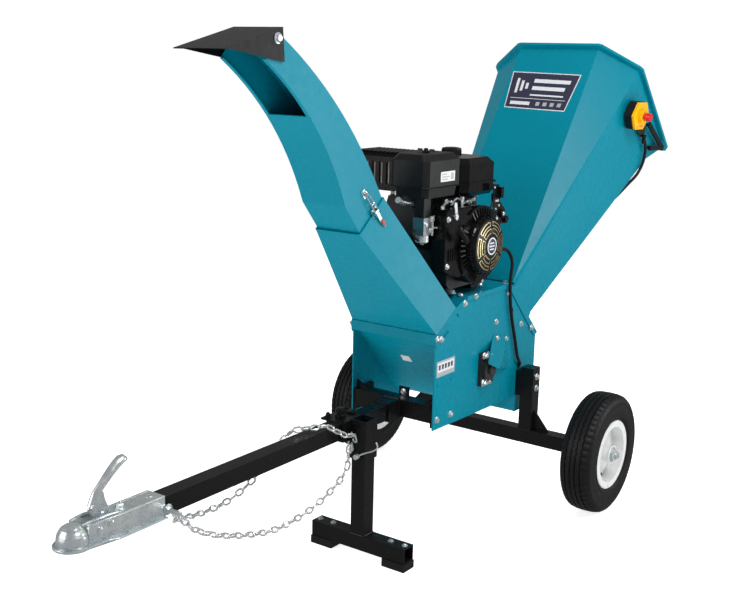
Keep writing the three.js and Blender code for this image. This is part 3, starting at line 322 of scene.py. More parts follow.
EDGE_RADII = {
    0.006: "fuel_tank",
    0.005: "air_cleaner",
    0.004: "drawbar fan_shroud estop_cover estop_button muffler",
    0.003: "axle_frame support_leg coupler_body coupler_lever estop_box foot_pad_left foot_pad_right "
           "fuel_cap starter_grip hopper_handle",
    0.002: "front_crossmember leg_bracket muffler_guard",
    0.0016: "deflector",
    0.0015: "rim_left rim_right engine_block",
}


def soften(thing, width):
    """Rounds the sharp edges of a shape and shades the rest smoothly."""
    modifier = thing.modifiers.new("edges", "BEVEL")
    modifier.width = width
    modifier.segments = 2
    modifier.limit_method = "ANGLE"
    modifier.angle_limit = math.radians(28)
    modifier.harden_normals = True
    for face in thing.data.polygons:
        face.use_smooth = True


def dress_cad_nodes():
    radii = {name: radius for radius, names in EDGE_RADII.items() for name in names.split()}
    for material, names in NODE_LOOKS.items():
        for name in names.split():
            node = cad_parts[name]
            node.data.materials.clear()
            node.data.materials.append(material)
            soften(node, radii.get(name, SHEET_EDGE))


# ---------------- building shapes


def frame_of(axis):
    """Two directions across an axis, and the axis itself."""
    axis = Vector(axis).normalized()
    hint = REAR if abs(axis.z) > 0.95 else UP
    first = hint.cross(axis).normalized()
    return first, axis.cross(first), axis


def on_circle(radius, count, start=0.0):
    angles = [start + math.tau * i / count for i in range(count)]
    return [(radius * math.cos(angle), radius * math.sin(angle)) for angle in angles]


def turned(profile, origin, axis, count, start=0.0):
    """Rings of points round an axis, one for each (radius, height) of a profile."""
    first, second, axis = frame_of(axis)
    origin = Vector(origin)
    return [[origin + axis * height + first * a + second * b for a, b in on_circle(radius, count, start)]
            for radius, height in profile]


class Shape:
    """Collects closed bodies, in millimetres, into one piece."""

    def __init__(self):
        self.mesh = bmesh.new()
        self.slot_index = 0

    def rings(self, rings, closed=False):
        """Skins rings of points, each the same length; the ends are capped unless the rings close."""
        made = [[self.mesh.verts.new(p) for p in ring] for ring in rings]
        pairs = list(zip(made, made[1:]))
        if closed:
            pairs.append((made[-1], made[0]))
        for low, high in pairs:
            for i in range(len(low)):
                j = (i + 1) % len(low)
                self.face((low[i], low[j], high[j], high[i]))
        if not closed:
            self.face(made[0][::-1])
            self.face(made[-1])

    def face(self, corners):
        face = self.mesh.faces.new(corners)
        face.material_index = self.slot_index
        face.smooth = True

    def lathe(self, profile, origin, axis, count=24, start=0.0):
        """A profile of (radius, height) pairs turned about an axis; the ends are capped."""
        self.rings(turned(profile, origin, axis, count, start))

    def loop_lathe(self, profile, origin, axis, count=32):
        """A closed profile turned about an axis, such as a ring."""
        self.rings(turned(profile, origin, axis, count), closed=True)

    def tube(self, points, radius, sides=8, closed=False):
        """A round bar along points."""
        points = [Vector(p) for p in points]
        count = len(points)
        rings = []
        across = None
        for i, point in enumerate(points):
            before = points[i - 1] if closed or i else point
            after = points[(i + 1) % count] if closed or i + 1 < count else point
            ahead = (after - before).normalized()
            if across is None:
                across = frame_of(ahead)[0]
            across = (across - ahead * across.dot(ahead)).normalized()
            other = ahead.cross(across)
            rings.append([point + across * a + other * b for a, b in on_circle(radius, sides)])
        self.rings(rings, closed=closed)

    def pipe(self, route, count, radius, sides=8):
        """A round bar along a smooth curve through a few points."""
        self.tube(smooth_route(route, count), radius, sides)

    def prism(self, outline, lift):
        """An outline of 3-D points grown by a vector."""
        self.rings([[Vector(p) for p in outline], [Vector(p) + Vector(lift) for p in outline]])

    def slab(self, x, outline, thick):
        """A plate square to X: an outline of (y, z) points that stands at x."""
        self.prism([(x, y, z) for y, z in outline], (thick, 0, 0))

    def block(self, low, high):
        (x0, y0, z0), (x1, y1, z1) = low, high
        self.slab(x0, [(y0, z0), (y1, z0), (y1, z1), (y0, z1)], x1 - x0)

    def bolt(self, place, axis, across=13.0, head=8.0, washer=True):
        """A hexagon head with a chamfered top on a washer, standing on place."""
        radius = across / 2 / math.cos(math.pi / 6)
        start = 0.0
        if washer:
            self.lathe([(across * 0.86, 0), (across * 0.86, 1.6), (across * 0.8, 2.0)], place, axis, 20)
            start = 1.8
        turn = random.uniform(0, math.pi / 3)
        self.lathe([(radius, start), (radius, start + head * 0.86), (radius * 0.86, start + head)],
                   place, axis, 6, start=turn)

    def nut(self, place, axis, across=13.0, stud=5.0):
        """A nut on a washer with the end of its bolt showing."""
        self.bolt(place, axis, across, across * 0.62)
        self.lathe([(stud, 0), (stud, across * 0.95), (stud * 0.8, across * 1.02)], place, axis, 12)

    def screw(self, place, axis, radius=5.0):
        """A round-headed screw."""
        profile = [(radius, 0), (radius, 0.8), (radius * 0.86, 2.2), (radius * 0.5, 3.1), (0.02, 3.3)]
        self.lathe(profile, place, axis, 16)

    def done(self, name, materials, body="frame", bevel=0.0):
        """Turns the collected bodies into an object that rides on a body of the model."""
        self.mesh.normal_update()
        bmesh.ops.recalc_face_normals(self.mesh, faces=self.mesh.faces)
        bmesh.ops.transform(self.mesh, matrix=Matrix.Translation((0, AXLE_Y, 0)) @ Matrix.Scale(MM, 4),
                            verts=self.mesh.verts)
        data = bpy.data.meshes.new(name)
        self.mesh.to_mesh(data)
        self.mesh.free()
        thing = bpy.data.objects.new(name, data)
        bpy.context.scene.collection.objects.link(thing)
        for material in materials if isinstance(materials, list) else [materials]:
            data.materials.append(material)
        if bevel:
            soften(thing, bevel)
        else:
            sharp_by_angle(thing, math.radians(32))
        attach(thing, body)
        return thing


def sharp_by_angle(thing, limit):
    """Smooth shading that stays crisp at folds sharper than an angle."""
    edges = bmesh.new()
    edges.from_mesh(thing.data)
    for edge in edges.edges:
        edge.smooth = len(edge.link_faces) == 2 and edge.calc_face_angle(0) < limit
    edges.to_mesh(thing.data)
    edges.free()


def smooth_route(points, count):
    """Points at equal steps along a Catmull-Rom curve through points."""
    fine_steps = 24
    points = [Vector(p) for p in points]
    padded = [points[0] * 2 - points[1], *points, points[-1] * 2 - points[-2]]
    fine = []
    for a, b, c, d in zip(padded, padded[1:], padded[2:], padded[3:]):
        for step in range(fine_steps):
            t = step / fine_steps
            fine.append(0.5 * (2 * b + (c - a) * t + (2 * a - 5 * b + 4 * c - d) * t * t
                               + (3 * b - a - 3 * c + d) * t ** 3))
    fine.append(points[-1])
    lengths = [0.0]
    for p, q in zip(fine, fine[1:]):
        lengths.append(lengths[-1] + (q - p).length)
    spaced = []
    k = 0
    for i in range(count):
        target = lengths[-1] * i / (count - 1)
        while k + 2 < len(fine) and lengths[k + 1] < target:
            k += 1
        share = (target - lengths[k]) / max(lengths[k + 1] - lengths[k], 1e-9)
        spaced.append(fine[k].lerp(fine[k + 1], share))
    return spaced


# ---------------- wheels


TREAD_COLUMNS = 220
BLOCK_GROOVE = 4.5
ZIGZAG = 1.3


def build_tyre(label, side):
    """Five ribs with zigzag grooves, shoulder blocks, a rim guard and a round sidewall."""
    # radius, half width and pattern: "rib" and "groove" run in a zigzag, "block" is notched
    tread = [(207.9, 0, "rib"), (207.9, 6, "rib"), (203.4, 6.8, "groove"), (203.4, 10.2, "groove"),
             (207.6, 11, "rib"), (207.0, 24, "rib"), (202.4, 24.8, "groove"), (202.2, 28.4, "groove"),
             (206.0, 29.2, "block"), (203.6, 40, "block"), (198.8, 46.5, "block")]
    sidewall = [(192, 51), (184, 54), (182, 54.6), (181, 54.2), (160, 56.4), (142, 55.4), (136, 54.2),
                (134.5, 55.4), (131, 55), (129.5, 53.2), (119, 45.6), (108, 43), (101.6, 40.5), (101.6, 34)]
    half_profile = tread + [(radius, width, "plain") for radius, width in sidewall]
    profile = [(radius, -width, kind) for radius, width, kind in half_profile[:0:-1]] + half_profile
    shape = Shape()
    columns = []
    for column in range(TREAD_COLUMNS):
        turn = math.tau * column / TREAD_COLUMNS
        phase = column % 4
        points = []
        for radius, width, kind in profile:
            if kind == "block" and phase == 0:
                radius -= BLOCK_GROOVE * (0.9 if abs(width) > 30 else 0.2)
            if kind in ("rib", "groove") and width:
                width += ZIGZAG if phase in (1, 2) else -ZIGZAG
            points.append((side * WHEEL_X + width, radius * math.sin(turn),
                           TYRE_RADIUS + radius * math.cos(turn)))
        columns.append([shape.mesh.verts.new(point) for point in points])
    for near, far in zip(columns, columns[1:] + columns[:1]):
        for i in range(len(near) - 1):
            shape.face((near[i], near[i + 1], far[i + 1], far[i]))
    tyre = shape.done(f"tyre_tread_{label}", TYRE, f"wheel_{label}")
    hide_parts(f"tyre_{label}")


def build_wheel_details(label, side):
    out = RIGHT * side
    wheel = f"wheel_{label}"

    def on_wheel(x, y=0, z=0):
        return Vector((side * (WHEEL_X + x), y, TYRE_RADIUS + z))

    trim = Shape()
    trim.loop_lathe([(26.2, -1), (30.5, -1), (31.5, 2), (30.5, 5), (26.2, 5)], on_wheel(47), out, 40)
    trim.loop_lathe([(116.5, -2), (118, -2.5), (119.4, -1), (119.4, 1.5), (118, 3), (116.5, 2.4)],
                    on_wheel(48), out, 64)
    trim.done(f"rim_beads_{label}", RIM_WHITE, wheel)
    valve = Shape()
    angle = math.radians(236 if side > 0 else 40)
    y, z = math.cos(angle), math.sin(angle)
    valve.lathe([(7.5, 0), (7, 3), (4.6, 8), (4.4, 22), (3.4, 23), (3.4, 25), (4.3, 26), (4.3, 33),
                 (3.6, 34)], on_wheel(5, 88 * y, 88 * z), (side * 0.9, -0.42 * y, -0.42 * z), 16)
    valve.done(f"valve_{label}", RUBBER, wheel, bevel=0.0004)
    washers = Shape()
    washers.loop_lathe([(15, 49), (20, 49), (20, 52), (18.4, 52.6), (18.4, 56), (15, 56)], on_wheel(0), out)
    washers.done(f"hub_washers_{label}", ZINC, wheel)
    pin = Shape()
    pin.tube([on_wheel(69, -14, 3), on_wheel(69, 14, 3), on_wheel(70, 20, -2)], 1.6)
    pin.done(f"split_pin_{label}", ZINC)


# ---------------- safety chains

LINK_WIRE = 3.0
LINK_HALF_WIDTH = 7.4
LINK_HALF_LENGTH = 16.0
LINK_PITCH = 26.0
LEFT_CHAIN = [(37, -1576, 391), (24, -1556, 362), (6, -1528, 350), (-22, -1480, 330), (-46, -1396, 306),
              (-50, -1290, 304), (-48, -1195, 332), (-44, -1110, 384), (-40, -1062, 424), (-27, -1030, 447),
              (0, -985, 449), (27, -942, 448), (44, -908, 426), (53, -880, 410), (60, -852, 404)]
RIGHT_CHAIN = [(56, -1576, 391), (54, -1556, 366), (50, -1500, 318), (49, -1391, 266), (47, -1225, 219),
               (46, -1098, 215), (46, -997, 231), (45, -900, 266), (44, -862, 298), (43, -853, 335),
               (46, -852, 368)]


def link_outline(centre, along, across):
    """The stadium-shaped middle line of one link."""
    straight = LINK_HALF_LENGTH - LINK_HALF_WIDTH - LINK_WIRE
    points = []
    for end, start in ((1, -90), (-1, 90)):
        for step in range(7):
            angle = math.radians(start + 30 * step)
            points.append(centre + along * (end * straight + LINK_HALF_WIDTH * math.cos(angle))
                          + across * LINK_HALF_WIDTH * math.sin(angle))
    return points


def s_hook(shape, place, along, across):
    """A bent wire hook in the shape of an S."""
    offset, radius = 10.45, 6.82
    points = []
    for end, start in ((1, -150), (-1, 270)):
        for step in range(9):
            angle = math.radians(start + 30 * step * end)
            points.append(place + end * (along * (offset + radius * math.cos(angle))
                                         + across * radius * math.sin(angle)))
    shape.tube(points, 2.8)


def build_chain(name, route):
    points = smooth_route(route, 400)
    length = sum((q - p).length for p, q in zip(points, points[1:]))
    count = round(length / LINK_PITCH)
    stations = smooth_route(route, count * 2 + 1)
    shape = Shape()
    for i in range(count):
        along = (stations[2 * i + 2] - stations[2 * i]).normalized()
        level, upright, _ = frame_of(along)
        turn = math.radians(45 + random.uniform(-9, 9)) + (math.pi / 2 if i % 2 else 0)
        across = level * math.cos(turn) + upright * math.sin(turn)
        shape.tube(link_outline(stations[2 * i + 1], along, across), LINK_WIRE, closed=True)
    chain = shape.done(f"{name}_links", CHAIN_ZINC)
    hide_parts(name)


def build_chain_fittings():
    """The hooks at the rear ends, and the stud through the coupler that holds the front ends."""
    fittings = Shape()
    s_hook(fittings, Vector((58, -846, 396)), Vector((0.2, 0.2, -0.95)), Vector((0.9, 0, 0.2)))
    s_hook(fittings, Vector((48, -849, 366)), Vector((0.1, 0.1, -1)), Vector((0.3, 0.9, 0)))
    fittings.lathe([(6, 0), (6, 34), (5, 35)], (40, -1588, 402), RIGHT, 16)
    fittings.bolt((30, -1588, 402), RIGHT, 17, 8)
    fittings.done("chain_fittings", ZINC)


# ---------------- frame, drawbar and coupler

PLATE = 161.0  # outer face of the side plates
END_PLATE = 148.9  # inner face of the front cross member's end plates
SKIRT = 165.3  # outer face of the skirts that overlap them
BEARING = 174.3  # outer face of the bearings' flanges
POST_INNER, POST_OUTER = 181, 231  # faces of the axle frame's posts
FRONT_FACE = -566.5
BRACKET_TOP = 441.3
BED_TOP = 772.3
FOOT_TOP = 75
WELD_STEP = 3.0
BALL_Y = -1862
COUPLER_RIM = 44.6


def weld(shape, start, end, size=3.2):
    """A bead of overlapping scales along a joint."""
    start, end = Vector(start), Vector(end)
    steps = max(4, round((end - start).length / WELD_STEP))
    first, second, _ = frame_of(end - start)
    rings = []
    for i in range(steps + 1):
        place = start.lerp(end, i / steps) + Vector([random.uniform(-0.25, 0.25) for _ in range(3)])
        radius = size * (1.0 if i % 2 else 0.84)
        rings.append([place + first * a + second * b for a, b in on_circle(radius, 8)])
    shape.rings(rings)


def build_frame_fasteners():
    bolts = Shape()
    for side in (-1, 1):
        out = RIGHT * side
        for z in (428, 386):
            bolts.bolt((side * POST_OUTER, 0, z), out, 14, 8)
        for y, z in ((-462, 393), (-546, 394)):
            bolts.bolt((side * PLATE, y, z), out, 13, 7)
            bolts.nut((side * END_PLATE, y, z), -out, 13, 4)
    bolts.bolt((12, -515, 452), -REAR, 12, 7)
    bolts.done("frame_bolts", ZINC)
    clamp = Shape()
    for y in (-852, -758):
        clamp.lathe([(5, 0), (5, 64)], (-38, y, 377), UP, 12)
        clamp.bolt((-38, y, 378.7), -UP, 15, 8)
        clamp.nut((-38, y, BRACKET_TOP), UP, 15, 5)
    clamp.lathe([(17, 0), (17, 9), (13, 10), (13, 17), (16, 18), (16, 26), (12, 27), (12, 31)],
                (-8, -828, BRACKET_TOP), UP)
    clamp.lathe([(17, 0), (17, 6), (12, 8)], (-8, -772, BRACKET_TOP), UP)
    clamp.done("clamp_bolts", FRAME_BLACK, bevel=0.0006)


def build_welds():
    welds = Shape()
    for side in (-1, 1):
        inner, outer, spindle, plate = (side * x for x in (POST_INNER, POST_OUTER, 390.5, 150))
        for y in (-25.5, 25.5):
            weld(welds, (inner, y, 233.5), (outer, y, 233.5))
        weld(welds, (inner, -25, 233.5), (inner, 25, 233.5))
        weld(welds, (spindle, -20, 227), (spindle, 20, 227), 2.6)
        weld(welds, (plate, FRONT_FACE, 442), (plate, FRONT_FACE, 388), 2.6)
    for z in (441.5, 379):
        weld(welds, (-31, FRONT_FACE, z), (31, FRONT_FACE, z), 3)
    for x in (-31.5, 31.5):
        weld(welds, (x, FRONT_FACE, 380), (x, FRONT_FACE, 440), 3)
    weld(welds, (34, -775, 441.5), (34, -835, 441.5), 2.6)
    welds.done("frame_welds", FRAME_BLACK)
    foot = Shape()
    z = FOOT_TOP + 0.5
    for x in (38.5, 89.5):
        weld(foot, (x, -829, z), (x, -781, z), 2.8)
    for y in (-830.5, -779.5):
        weld(foot, (40, y, z), (88, y, z), 2.8)
    foot.done("leg_welds", FRAME_BLACK, "leg")


def build_foot_bolts():
    bolts = Shape()
    for x in (-99, -47, 227, 175):
        bolts.bolt((x, -805, FOOT_TOP), UP, 11, 4.5)
    bolts.done("foot_bolts", ZINC, "leg")


def build_coupler_details():
    trim = Shape()
    for side in (-1, 1):
        for place in ((side * 31.2, -1807, 424), (side * 30, -1771, 429)):
            trim.lathe([(8.4, -2), (8.4, 2.5), (7.2, 4.6), (4.2, 6), (0.02, 6.4)], place, RIGHT * side, 20)
    trim.lathe([(38.4, 400), (38.4, 412), (37.6, 419), (35.6, 426), (32.4, 433), (28, 439), (22, 444.6),
                (15, 448.6), (8, 450.9), (0.02, 451.4)], (0, BALL_Y, 0), UP, 48)
    trim.nut((0, -1716, 441), UP, 17, 5)
    trim.screw((0, -1621, 441), UP, 10)
    # the pressed rim round the foot of the dome
    left = [(-40.5, -1600, 386), (-40.5, -1748, 388), (-44, -1790, 396.5)]
    front = [(x, BALL_Y + y, 398.5) for x, y in on_circle(COUPLER_RIM, 48, math.pi)[:25]]
    right = [(-x, y, z) for x, y, z in reversed(left)]
    trim.pipe([*left, *front, *right], 90, 2.3)
    # the rounded upper edges of the neck, and the ridges beside the hinge
    for side in (-1, 1):
        edge = [(side * 28, -1600, 440), (side * 28, -1700, 440), (side * 28, -1745, 440.5),
                (side * 30, -1790, 443.5), (side * 30.5, -1832, 443)]
        ridge = [(side * 15, -1735, 441), (side * 20, -1770, 447), (side * 24, -1815, 449),
                 (side * 21, -1850, 446)]
        trim.pipe(edge, 40, 3.6, 10)
        trim.pipe(ridge, 24, 4.2, 10)
    trim.done("coupler_trim", ZINC)


def arch(half, height):
    """Points over an arch, from right to left."""
    angles = [math.radians(degrees) for degrees in range(0, 181, 18)]
    return [(half * math.cos(angle), height * math.sin(angle)) for angle in angles]


def build_coupler_lever():
    """A pressed lever: a half-round grip that widens to a rounded tip, on a flat web with a hinge eye."""
    grip = Shape()
    skin, drop = 2.2, 6
    # y, z, half width and how nearly round the section is, from the foot to the tip
    path = [(-1815, 471, 8, 0.55), (-1809, 483, 9, 0.75), (-1796, 503, 9.5, 1.0), (-1772, 524, 10.5, 1.0),
            (-1748, 545, 11.8, 1.0), (-1728, 560, 13.0, 1.0), (-1712, 569, 13.6, 0.95),
            (-1702, 571, 12.6, 0.8), (-1694, 568, 10.2, 0.6), (-1690, 563, 6.0, 0.35)]
    rings = []
    for i, (y, z, half, fullness) in enumerate(path):
        before, after = path[max(i - 1, 0)], path[min(i + 1, len(path) - 1)]
        along = Vector((0, after[0] - before[0], after[1] - before[1])).normalized()
        up = Vector((0, -along.z, along.y))
        height = half * fullness
        section = [*arch(half, height), (-half, -4), (skin - half, -4),
                   *arch(half - skin, height - skin)[::-1], (half - skin, -4), (half, -4)]
        rings.append([Vector((a, y, z)) + up * (b - drop) for a, b in section])
    grip.rings(rings)
    grip.slab(-3.5, [(-1815, 470), (-1806, 452), (-1790, 440), (-1764, 434), (-1752, 446), (-1756, 462),
                     (-1764, 480), (-1768, 500), (-1790, 498), (-1808, 482)], 7)
    grip.lathe([(10.5, -8.6), (11.2, -7.6), (11.2, 7.6), (10.5, 8.6)], (0, -1770, 440), RIGHT)
    grip.bolt((8, -1806, 474), RIGHT, 11, 4, washer=False)
    lever = grip.done("coupler_handle_pressing", ZINC, "coupler_handle")
    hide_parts("coupler_lever")


# ---------------- body and chute


def build_body_fasteners():
    bolts = Shape()
    for side in (-1, 1):
        out = RIGHT * side
        for x, y, z, head in ((SKIRT, -541, 659, 6), (SKIRT, -405, 752, 6), (SKIRT, -118, 740, 6),
                              (SKIRT, 66, 585, 6), (PLATE, -186, 650, 5.5), (PLATE, -5, 610, 5.5)):
            bolts.bolt((side * x, y, z), out, 13, head)
        for z in (458, 552):
            for y in (-253, -279):
                bolts.nut((side * BEARING, y, z), out, 15, 5)
        for x, y in ((140, -392), (148, -112)):
            bolts.bolt((side * x, y, BED_TOP), UP, 13, 6)
        bolts.nut((side * SKIRT, -562, 664), out, 12, 4)
    for side in (1, -1):
        bolts.bolt((side * SKIRT, -336, 764), RIGHT * side, 12, 5)
    slope_out, slope_down = (REAR + UP).normalized(), (REAR - UP).normalized()
    for side in (-1, 1):
        for along in (14, 214, 262):
            place = Vector((side * 150, -100, 768)) + slope_out * 4.3 + slope_down * along
            bolts.bolt(place, slope_out, 12, 5)
    for x in (-120, 0, 120):
        bolts.bolt((x, -18.5, 420), REAR, 12, 5)
    bolts.done("body_bolts", ZINC)


def build_plate_details():
    """The bearing guard's flange and bolts, the cable's grommet and thin dark discs as painted shade in the
    small holes of the side plates.
    """
    guard = Shape()
    guard.slab(PLATE + 0.2, [(-210, 588), (-96, 562), (-94, 584), (-200, 608)], 2)
    guard.done("bearing_guard_flange", TEAL)
    studs = Shape()
    for y, z in ((-176, 592), (-112, 577)):
        studs.bolt((PLATE + 2, y, z), RIGHT, 11, 4.5)
    studs.done("bearing_guard_bolts", ZINC)
    grommet = Shape()
    grommet.loop_lathe([(5, -3), (11, -3), (12, 0), (11, 3), (5, 3)], (PLATE + 1, -8, 464), RIGHT, 28)
    grommet.done("cable_grommet", RUBBER)
    # painted shade: thin dark discs on the side plates stand for the shade inside their small holes
    hole_shade_discs = Shape()
    for side in (-1, 1):
        for y, z in ((-465, 512), (-548, 508)):
            hole_shade_discs.lathe([(3.2, 0), (3.2, 0.25), (2.6, 0.3)], (side * PLATE, y, z), RIGHT * side, 14)
    hole_shade_discs.done("plate_hole_painted_shade", RUBBER)


def build_stickers():
    """Stand-ins without text: a grey sticker on the side plate, a pale one inside the front."""
    grey = Shape()
    grey.block((PLATE + 0.1, -554, 534), (PLATE + 0.35, -446, 586))
    grey.slot_index = 1
    grey.block((PLATE + 0.2, -548, 549), (PLATE + 0.5, -452, 580))
    grey.slot_index = 2
    for front in range(-542, -452, 18):
        grey.block((PLATE + 0.5, front, 557), (PLATE + 0.7, front + 11, 573))
    grey.done("side_sticker", [PLAQUE_GREY, STICKER_WHITE, PLAQUE_BLUE])
    pale = Shape()
    outward = Vector((0, -0.7513, -0.66))
    width, height = RIGHT * 36, Vector((0, -0.66, 0.7513)) * 30
    corner = Vector((-32, -453.6, 541)) + outward * 3.4
    pale.prism([corner, corner + width, corner + width + height, corner + height], outward * 0.25)
    pale.done("chute_sticker", STICKER_WHITE)


CHUTE_UP = Vector((0, -0.644, 0.765))
CHUTE_REAR = Vector((0, 0.765, 0.644))
JOINT = Vector((0, -810.5, 1068.5))


def on_chute(x, up, rear):
    return JOINT + RIGHT * x + CHUTE_UP * up + CHUTE_REAR * rear


def chute_slab(shape, x, outline, thick):
    """A plate square to X: an outline of (up, rear) points on the chute."""
    shape.prism([on_chute(x, up, rear) for up, rear in outline], RIGHT * thick)


def chute_wire(shape, route, count, radius):
    shape.pipe([on_chute(*place) for place in route], count, radius)


def build_latch():
    """The draw latch: base plate on the lower chute, wire loop, keeper on the upper chute, dipped tip."""
    base = Shape()
    chute_slab(base, 82.4, [(-10, 2), (14, 2), (14, 30), (-10, 30)], 1.8)
    for rear in (7, 25):
        base.screw(on_chute(84, 10, rear), RIGHT, 2.6)
    loop = [(92.5, -3, 9), (91.5, 22, 8.2), (89.5, 52, 9.5), (87.5, 72, 11), (86.5, 79, 14),
            (86.5, 79, 18), (87.5, 72, 21), (89.5, 52, 22.5), (91.5, 22, 23.8), (92.5, -3, 23)]
    chute_wire(base, loop, 40, 1.7)
    base.tube([on_chute(92, 34, 9), on_chute(92, 34, 23)], 2.6, 10)
    base.done("latch_base_and_loop", ZINC)
    keeper = Shape()
    chute_slab(keeper, 77.7, [(60, 7), (86, 7), (86, 25), (60, 25)], 1.8)
    hook = [(78.7, 68, 16), (85.7, 69, 16), (89.7, 75, 16), (88.7, 82, 16), (84.7, 84, 16)]
    chute_wire(keeper, hook, 12, 3.4)
    keeper.done("latch_keeper", ZINC, "chute_upper")
    tip = Shape()
    chute_slab(tip, 92.2, [(-34, 9.4), (-34, 22.6), (-54, 20.6), (-54, 11.4)], 6.4)
    tip.done("latch_tip", TIP_RED, "latch", bevel=0.002)


def build_chute_details():
    """The folded collar at the slip joint, and the bolts the deflector turns on."""
    collar = Shape()
    for x in (-81.2, 81.2):
        collar.tube([on_chute(x, -1, -75.5), on_chute(x, -1, 75.5)], 1.5)
    for rear in (75.8, -75.8):
        collar.tube([on_chute(-81, -1, rear), on_chute(81, -1, rear)], 1.5)
    collar.done("chute_collar_edge", TEAL)
    pivots = Shape()
    for side in (-1, 1):
        pivots.bolt((side * 84, -1233, 1561), RIGHT * side, 17, 7)
    pivots.done("deflector_bolts", ZINC, "chute_flap")


# ---------------- hopper and stop switch

PLAQUE_FOOT = Vector((0, -74, 770))
PLAQUE_UP = Vector((0, 571.3, 804.1)).normalized()
PLAQUE_OUT = Vector((0, -PLAQUE_UP.z, PLAQUE_UP.y))
LOW_LEFT, LOW_RIGHT = Vector((-137, 704)), Vector((116, 697))
TOP_LEFT, TOP_RIGHT = Vector((-155, 866)), Vector((132, 859))


def plaque_patch(shape, left, right, low, high, out=0.9, thick=0.3):
    """A patch of the plaque; left, right, low and high are shares of its width and height."""
    corners = []
    for across, up in ((left, low), (right, low), (right, high), (left, high)):
        x, rise = LOW_LEFT.lerp(LOW_RIGHT, across).lerp(TOP_LEFT.lerp(TOP_RIGHT, across), up)
        corners.append(PLAQUE_FOOT + RIGHT * x + PLAQUE_UP * rise + PLAQUE_OUT * out)
    shape.prism(corners, PLAQUE_OUT * thick)


def build_plaque():
    """A dark plaque with a pale border and plain bars instead of text, on the hopper's front panel."""
    plaque = Shape()
    plaque_patch(plaque, 0, 1, 0, 1, 0.2, 0.5)
    for patch in ((0.06, 0.94, 0.272, 0.284), (0.08, 0.4, 0.1, 0.19), (0.36, 0.9, 0.72, 0.82),
                  (0.36, 0.86, 0.52, 0.62), (0.36, 0.88, 0.36, 0.4)):
        plaque_patch(plaque, *patch)
    for i in range(3):
        plaque_patch(plaque, 0.1 + 0.075 * i, 0.14 + 0.075 * i, 0.42 + 0.06 * i, 0.82 - 0.06 * i)
    plaque.slot_index = 1
    plaque_patch(plaque, 0.014, 0.986, 0.024, 0.976, 0.5, 0.5)
    plaque.slot_index = 2
    for i in range(4):
        plaque_patch(plaque, 0.5 + 0.115 * i, 0.56 + 0.115 * i, 0.1, 0.2)
    plaque.done("hopper_plaque", [STICKER_WHITE, PLAQUE_BLUE, PLAQUE_GREY])


WALL_CENTRE = Vector((289, 541, 1331))
WALL_OUT = Vector((0.989, -0.104, -0.104))
WALL_REAR = Vector((0.1048, 0.9945, 0))
WALL_UP = Vector((0.1034, -0.0109, 0.9945))


def on_wall(rear, up, out):
    return WALL_CENTRE + WALL_REAR * rear + WALL_UP * up + WALL_OUT * out


def build_stop_details():
    gland = Shape()
    start = on_wall(98, -86, 14)
    gland.lathe([(9, -8), (9, 0), (7.5, 2), (7.5, 12), (6.4, 14), (6.6, 17), (5.6, 19), (5.9, 22),
                 (5.2, 26)], start, on_wall(100, -120, 12) - start, 20)
    gland.done("stop_cable_gland", BLACK_PLASTIC)
    rim = Shape()
    rim.loop_lathe([(17, 52), (25.8, 52), (25.2, 54.4), (17.6, 54.4)], WALL_CENTRE, WALL_OUT, 40)
    for rear, up in on_circle(44, 3, math.radians(30)):
        rim.screw(on_wall(rear, up, 40), WALL_OUT, 4)
    tab = [on_wall(rear, up, 40) for rear, up in ((-20, -47), (20, -47), (20, -40), (-20, -40))]
    rim.prism(tab, WALL_OUT * 4)
    rim.done("stop_cover_ring", YELLOW)
    ring = Shape()
    ring.loop_lathe([(10.5, 77.6), (13.5, 77.6), (13.5, 79), (10.5, 79)], WALL_CENTRE, WALL_OUT)
    ring.done("stop_button_ring", RED, "stop_button")


CABLE_ROUTE = [(303, 642, 1240), (300, 668, 1200), (294, 672, 1150), (281, 652, 1101), (262, 610, 1062),
               (232, 560, 1010), (180, 460, 930), (110, 300, 790), (60, 200, 690), (50, 150, 600),
               (56, 110, 510), (82, 70, 466), (118, 22, 464), (146, -8, 464), (164, -8, 464),
               (173, -24, 474), (172, -43, 506), (172, -64, 565), (172, -93, 642), (173, -115, 716),
               (174, -122, 787), (174, -116, 848), (166, -135, 889), (150, -172, 900)]


def build_stop_cable():
    """The round cable from the stop switch, in its flexible sleeve, and its clips."""
    cable = Shape()
    cable.pipe(CABLE_ROUTE, 200, 5.7, 14)
    sleeve = cable.done("stop_cable_sleeve", RUBBER)
    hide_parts("estop_cable")
    clips = Shape()
    for place, axis in (((172.8, -104, 680), (0, -0.3, 1)), ((180, 460, 930), (0.45, 0.57, 0.55)),
                        ((110, 300, 790), (0.4, 0.75, 0.6))):
        clips.loop_lathe([(5.9, -4), (7.2, -4), (7.2, 4), (5.9, 4)], place, axis, 20)
    clips.done("cable_clips", BLACK_PLASTIC)


# ---------------- engine

CRANK_Y = -320
CRANK_Z = 933
CRANK = (0, CRANK_Y, CRANK_Z)
GRILLE_ARCS = ((80, 77), (68, 65.5), (58, 55.5), (44, 41.5))
SPOKE_STEP = 60
SPOKE_TURN = 30


def round_crank(radius, degrees, x):
    angle = math.radians(degrees)
    return Vector((x, CRANK_Y + radius * math.cos(angle), CRANK_Z + radius * math.sin(angle)))


def grille_face(radius):
    """How far right the domed grille stands at a radius."""
    return 204.5 + (50 - radius) * (0.132 if radius > 50 else 0.03)


def arc_bar(shape, outer, inner, start, end, lift, steps=8):
    """A flat bar bent along an arc of the grille."""
    sunk = [(inner, -1), (outer, -1), (outer, lift), (inner, lift)]
    shape.rings([[round_crank(radius, start + (end - start) * step / steps, grille_face(radius) + x)
                  for radius, x in sunk] for step in range(steps + 1)])


def grille_windows(margin):
    """Start and end of the openings between the spokes of the grille, in degrees."""
    starts = range(SPOKE_TURN, SPOKE_TURN + 360, SPOKE_STEP)
    return [(start + margin, start + SPOKE_STEP - margin) for start in starts]


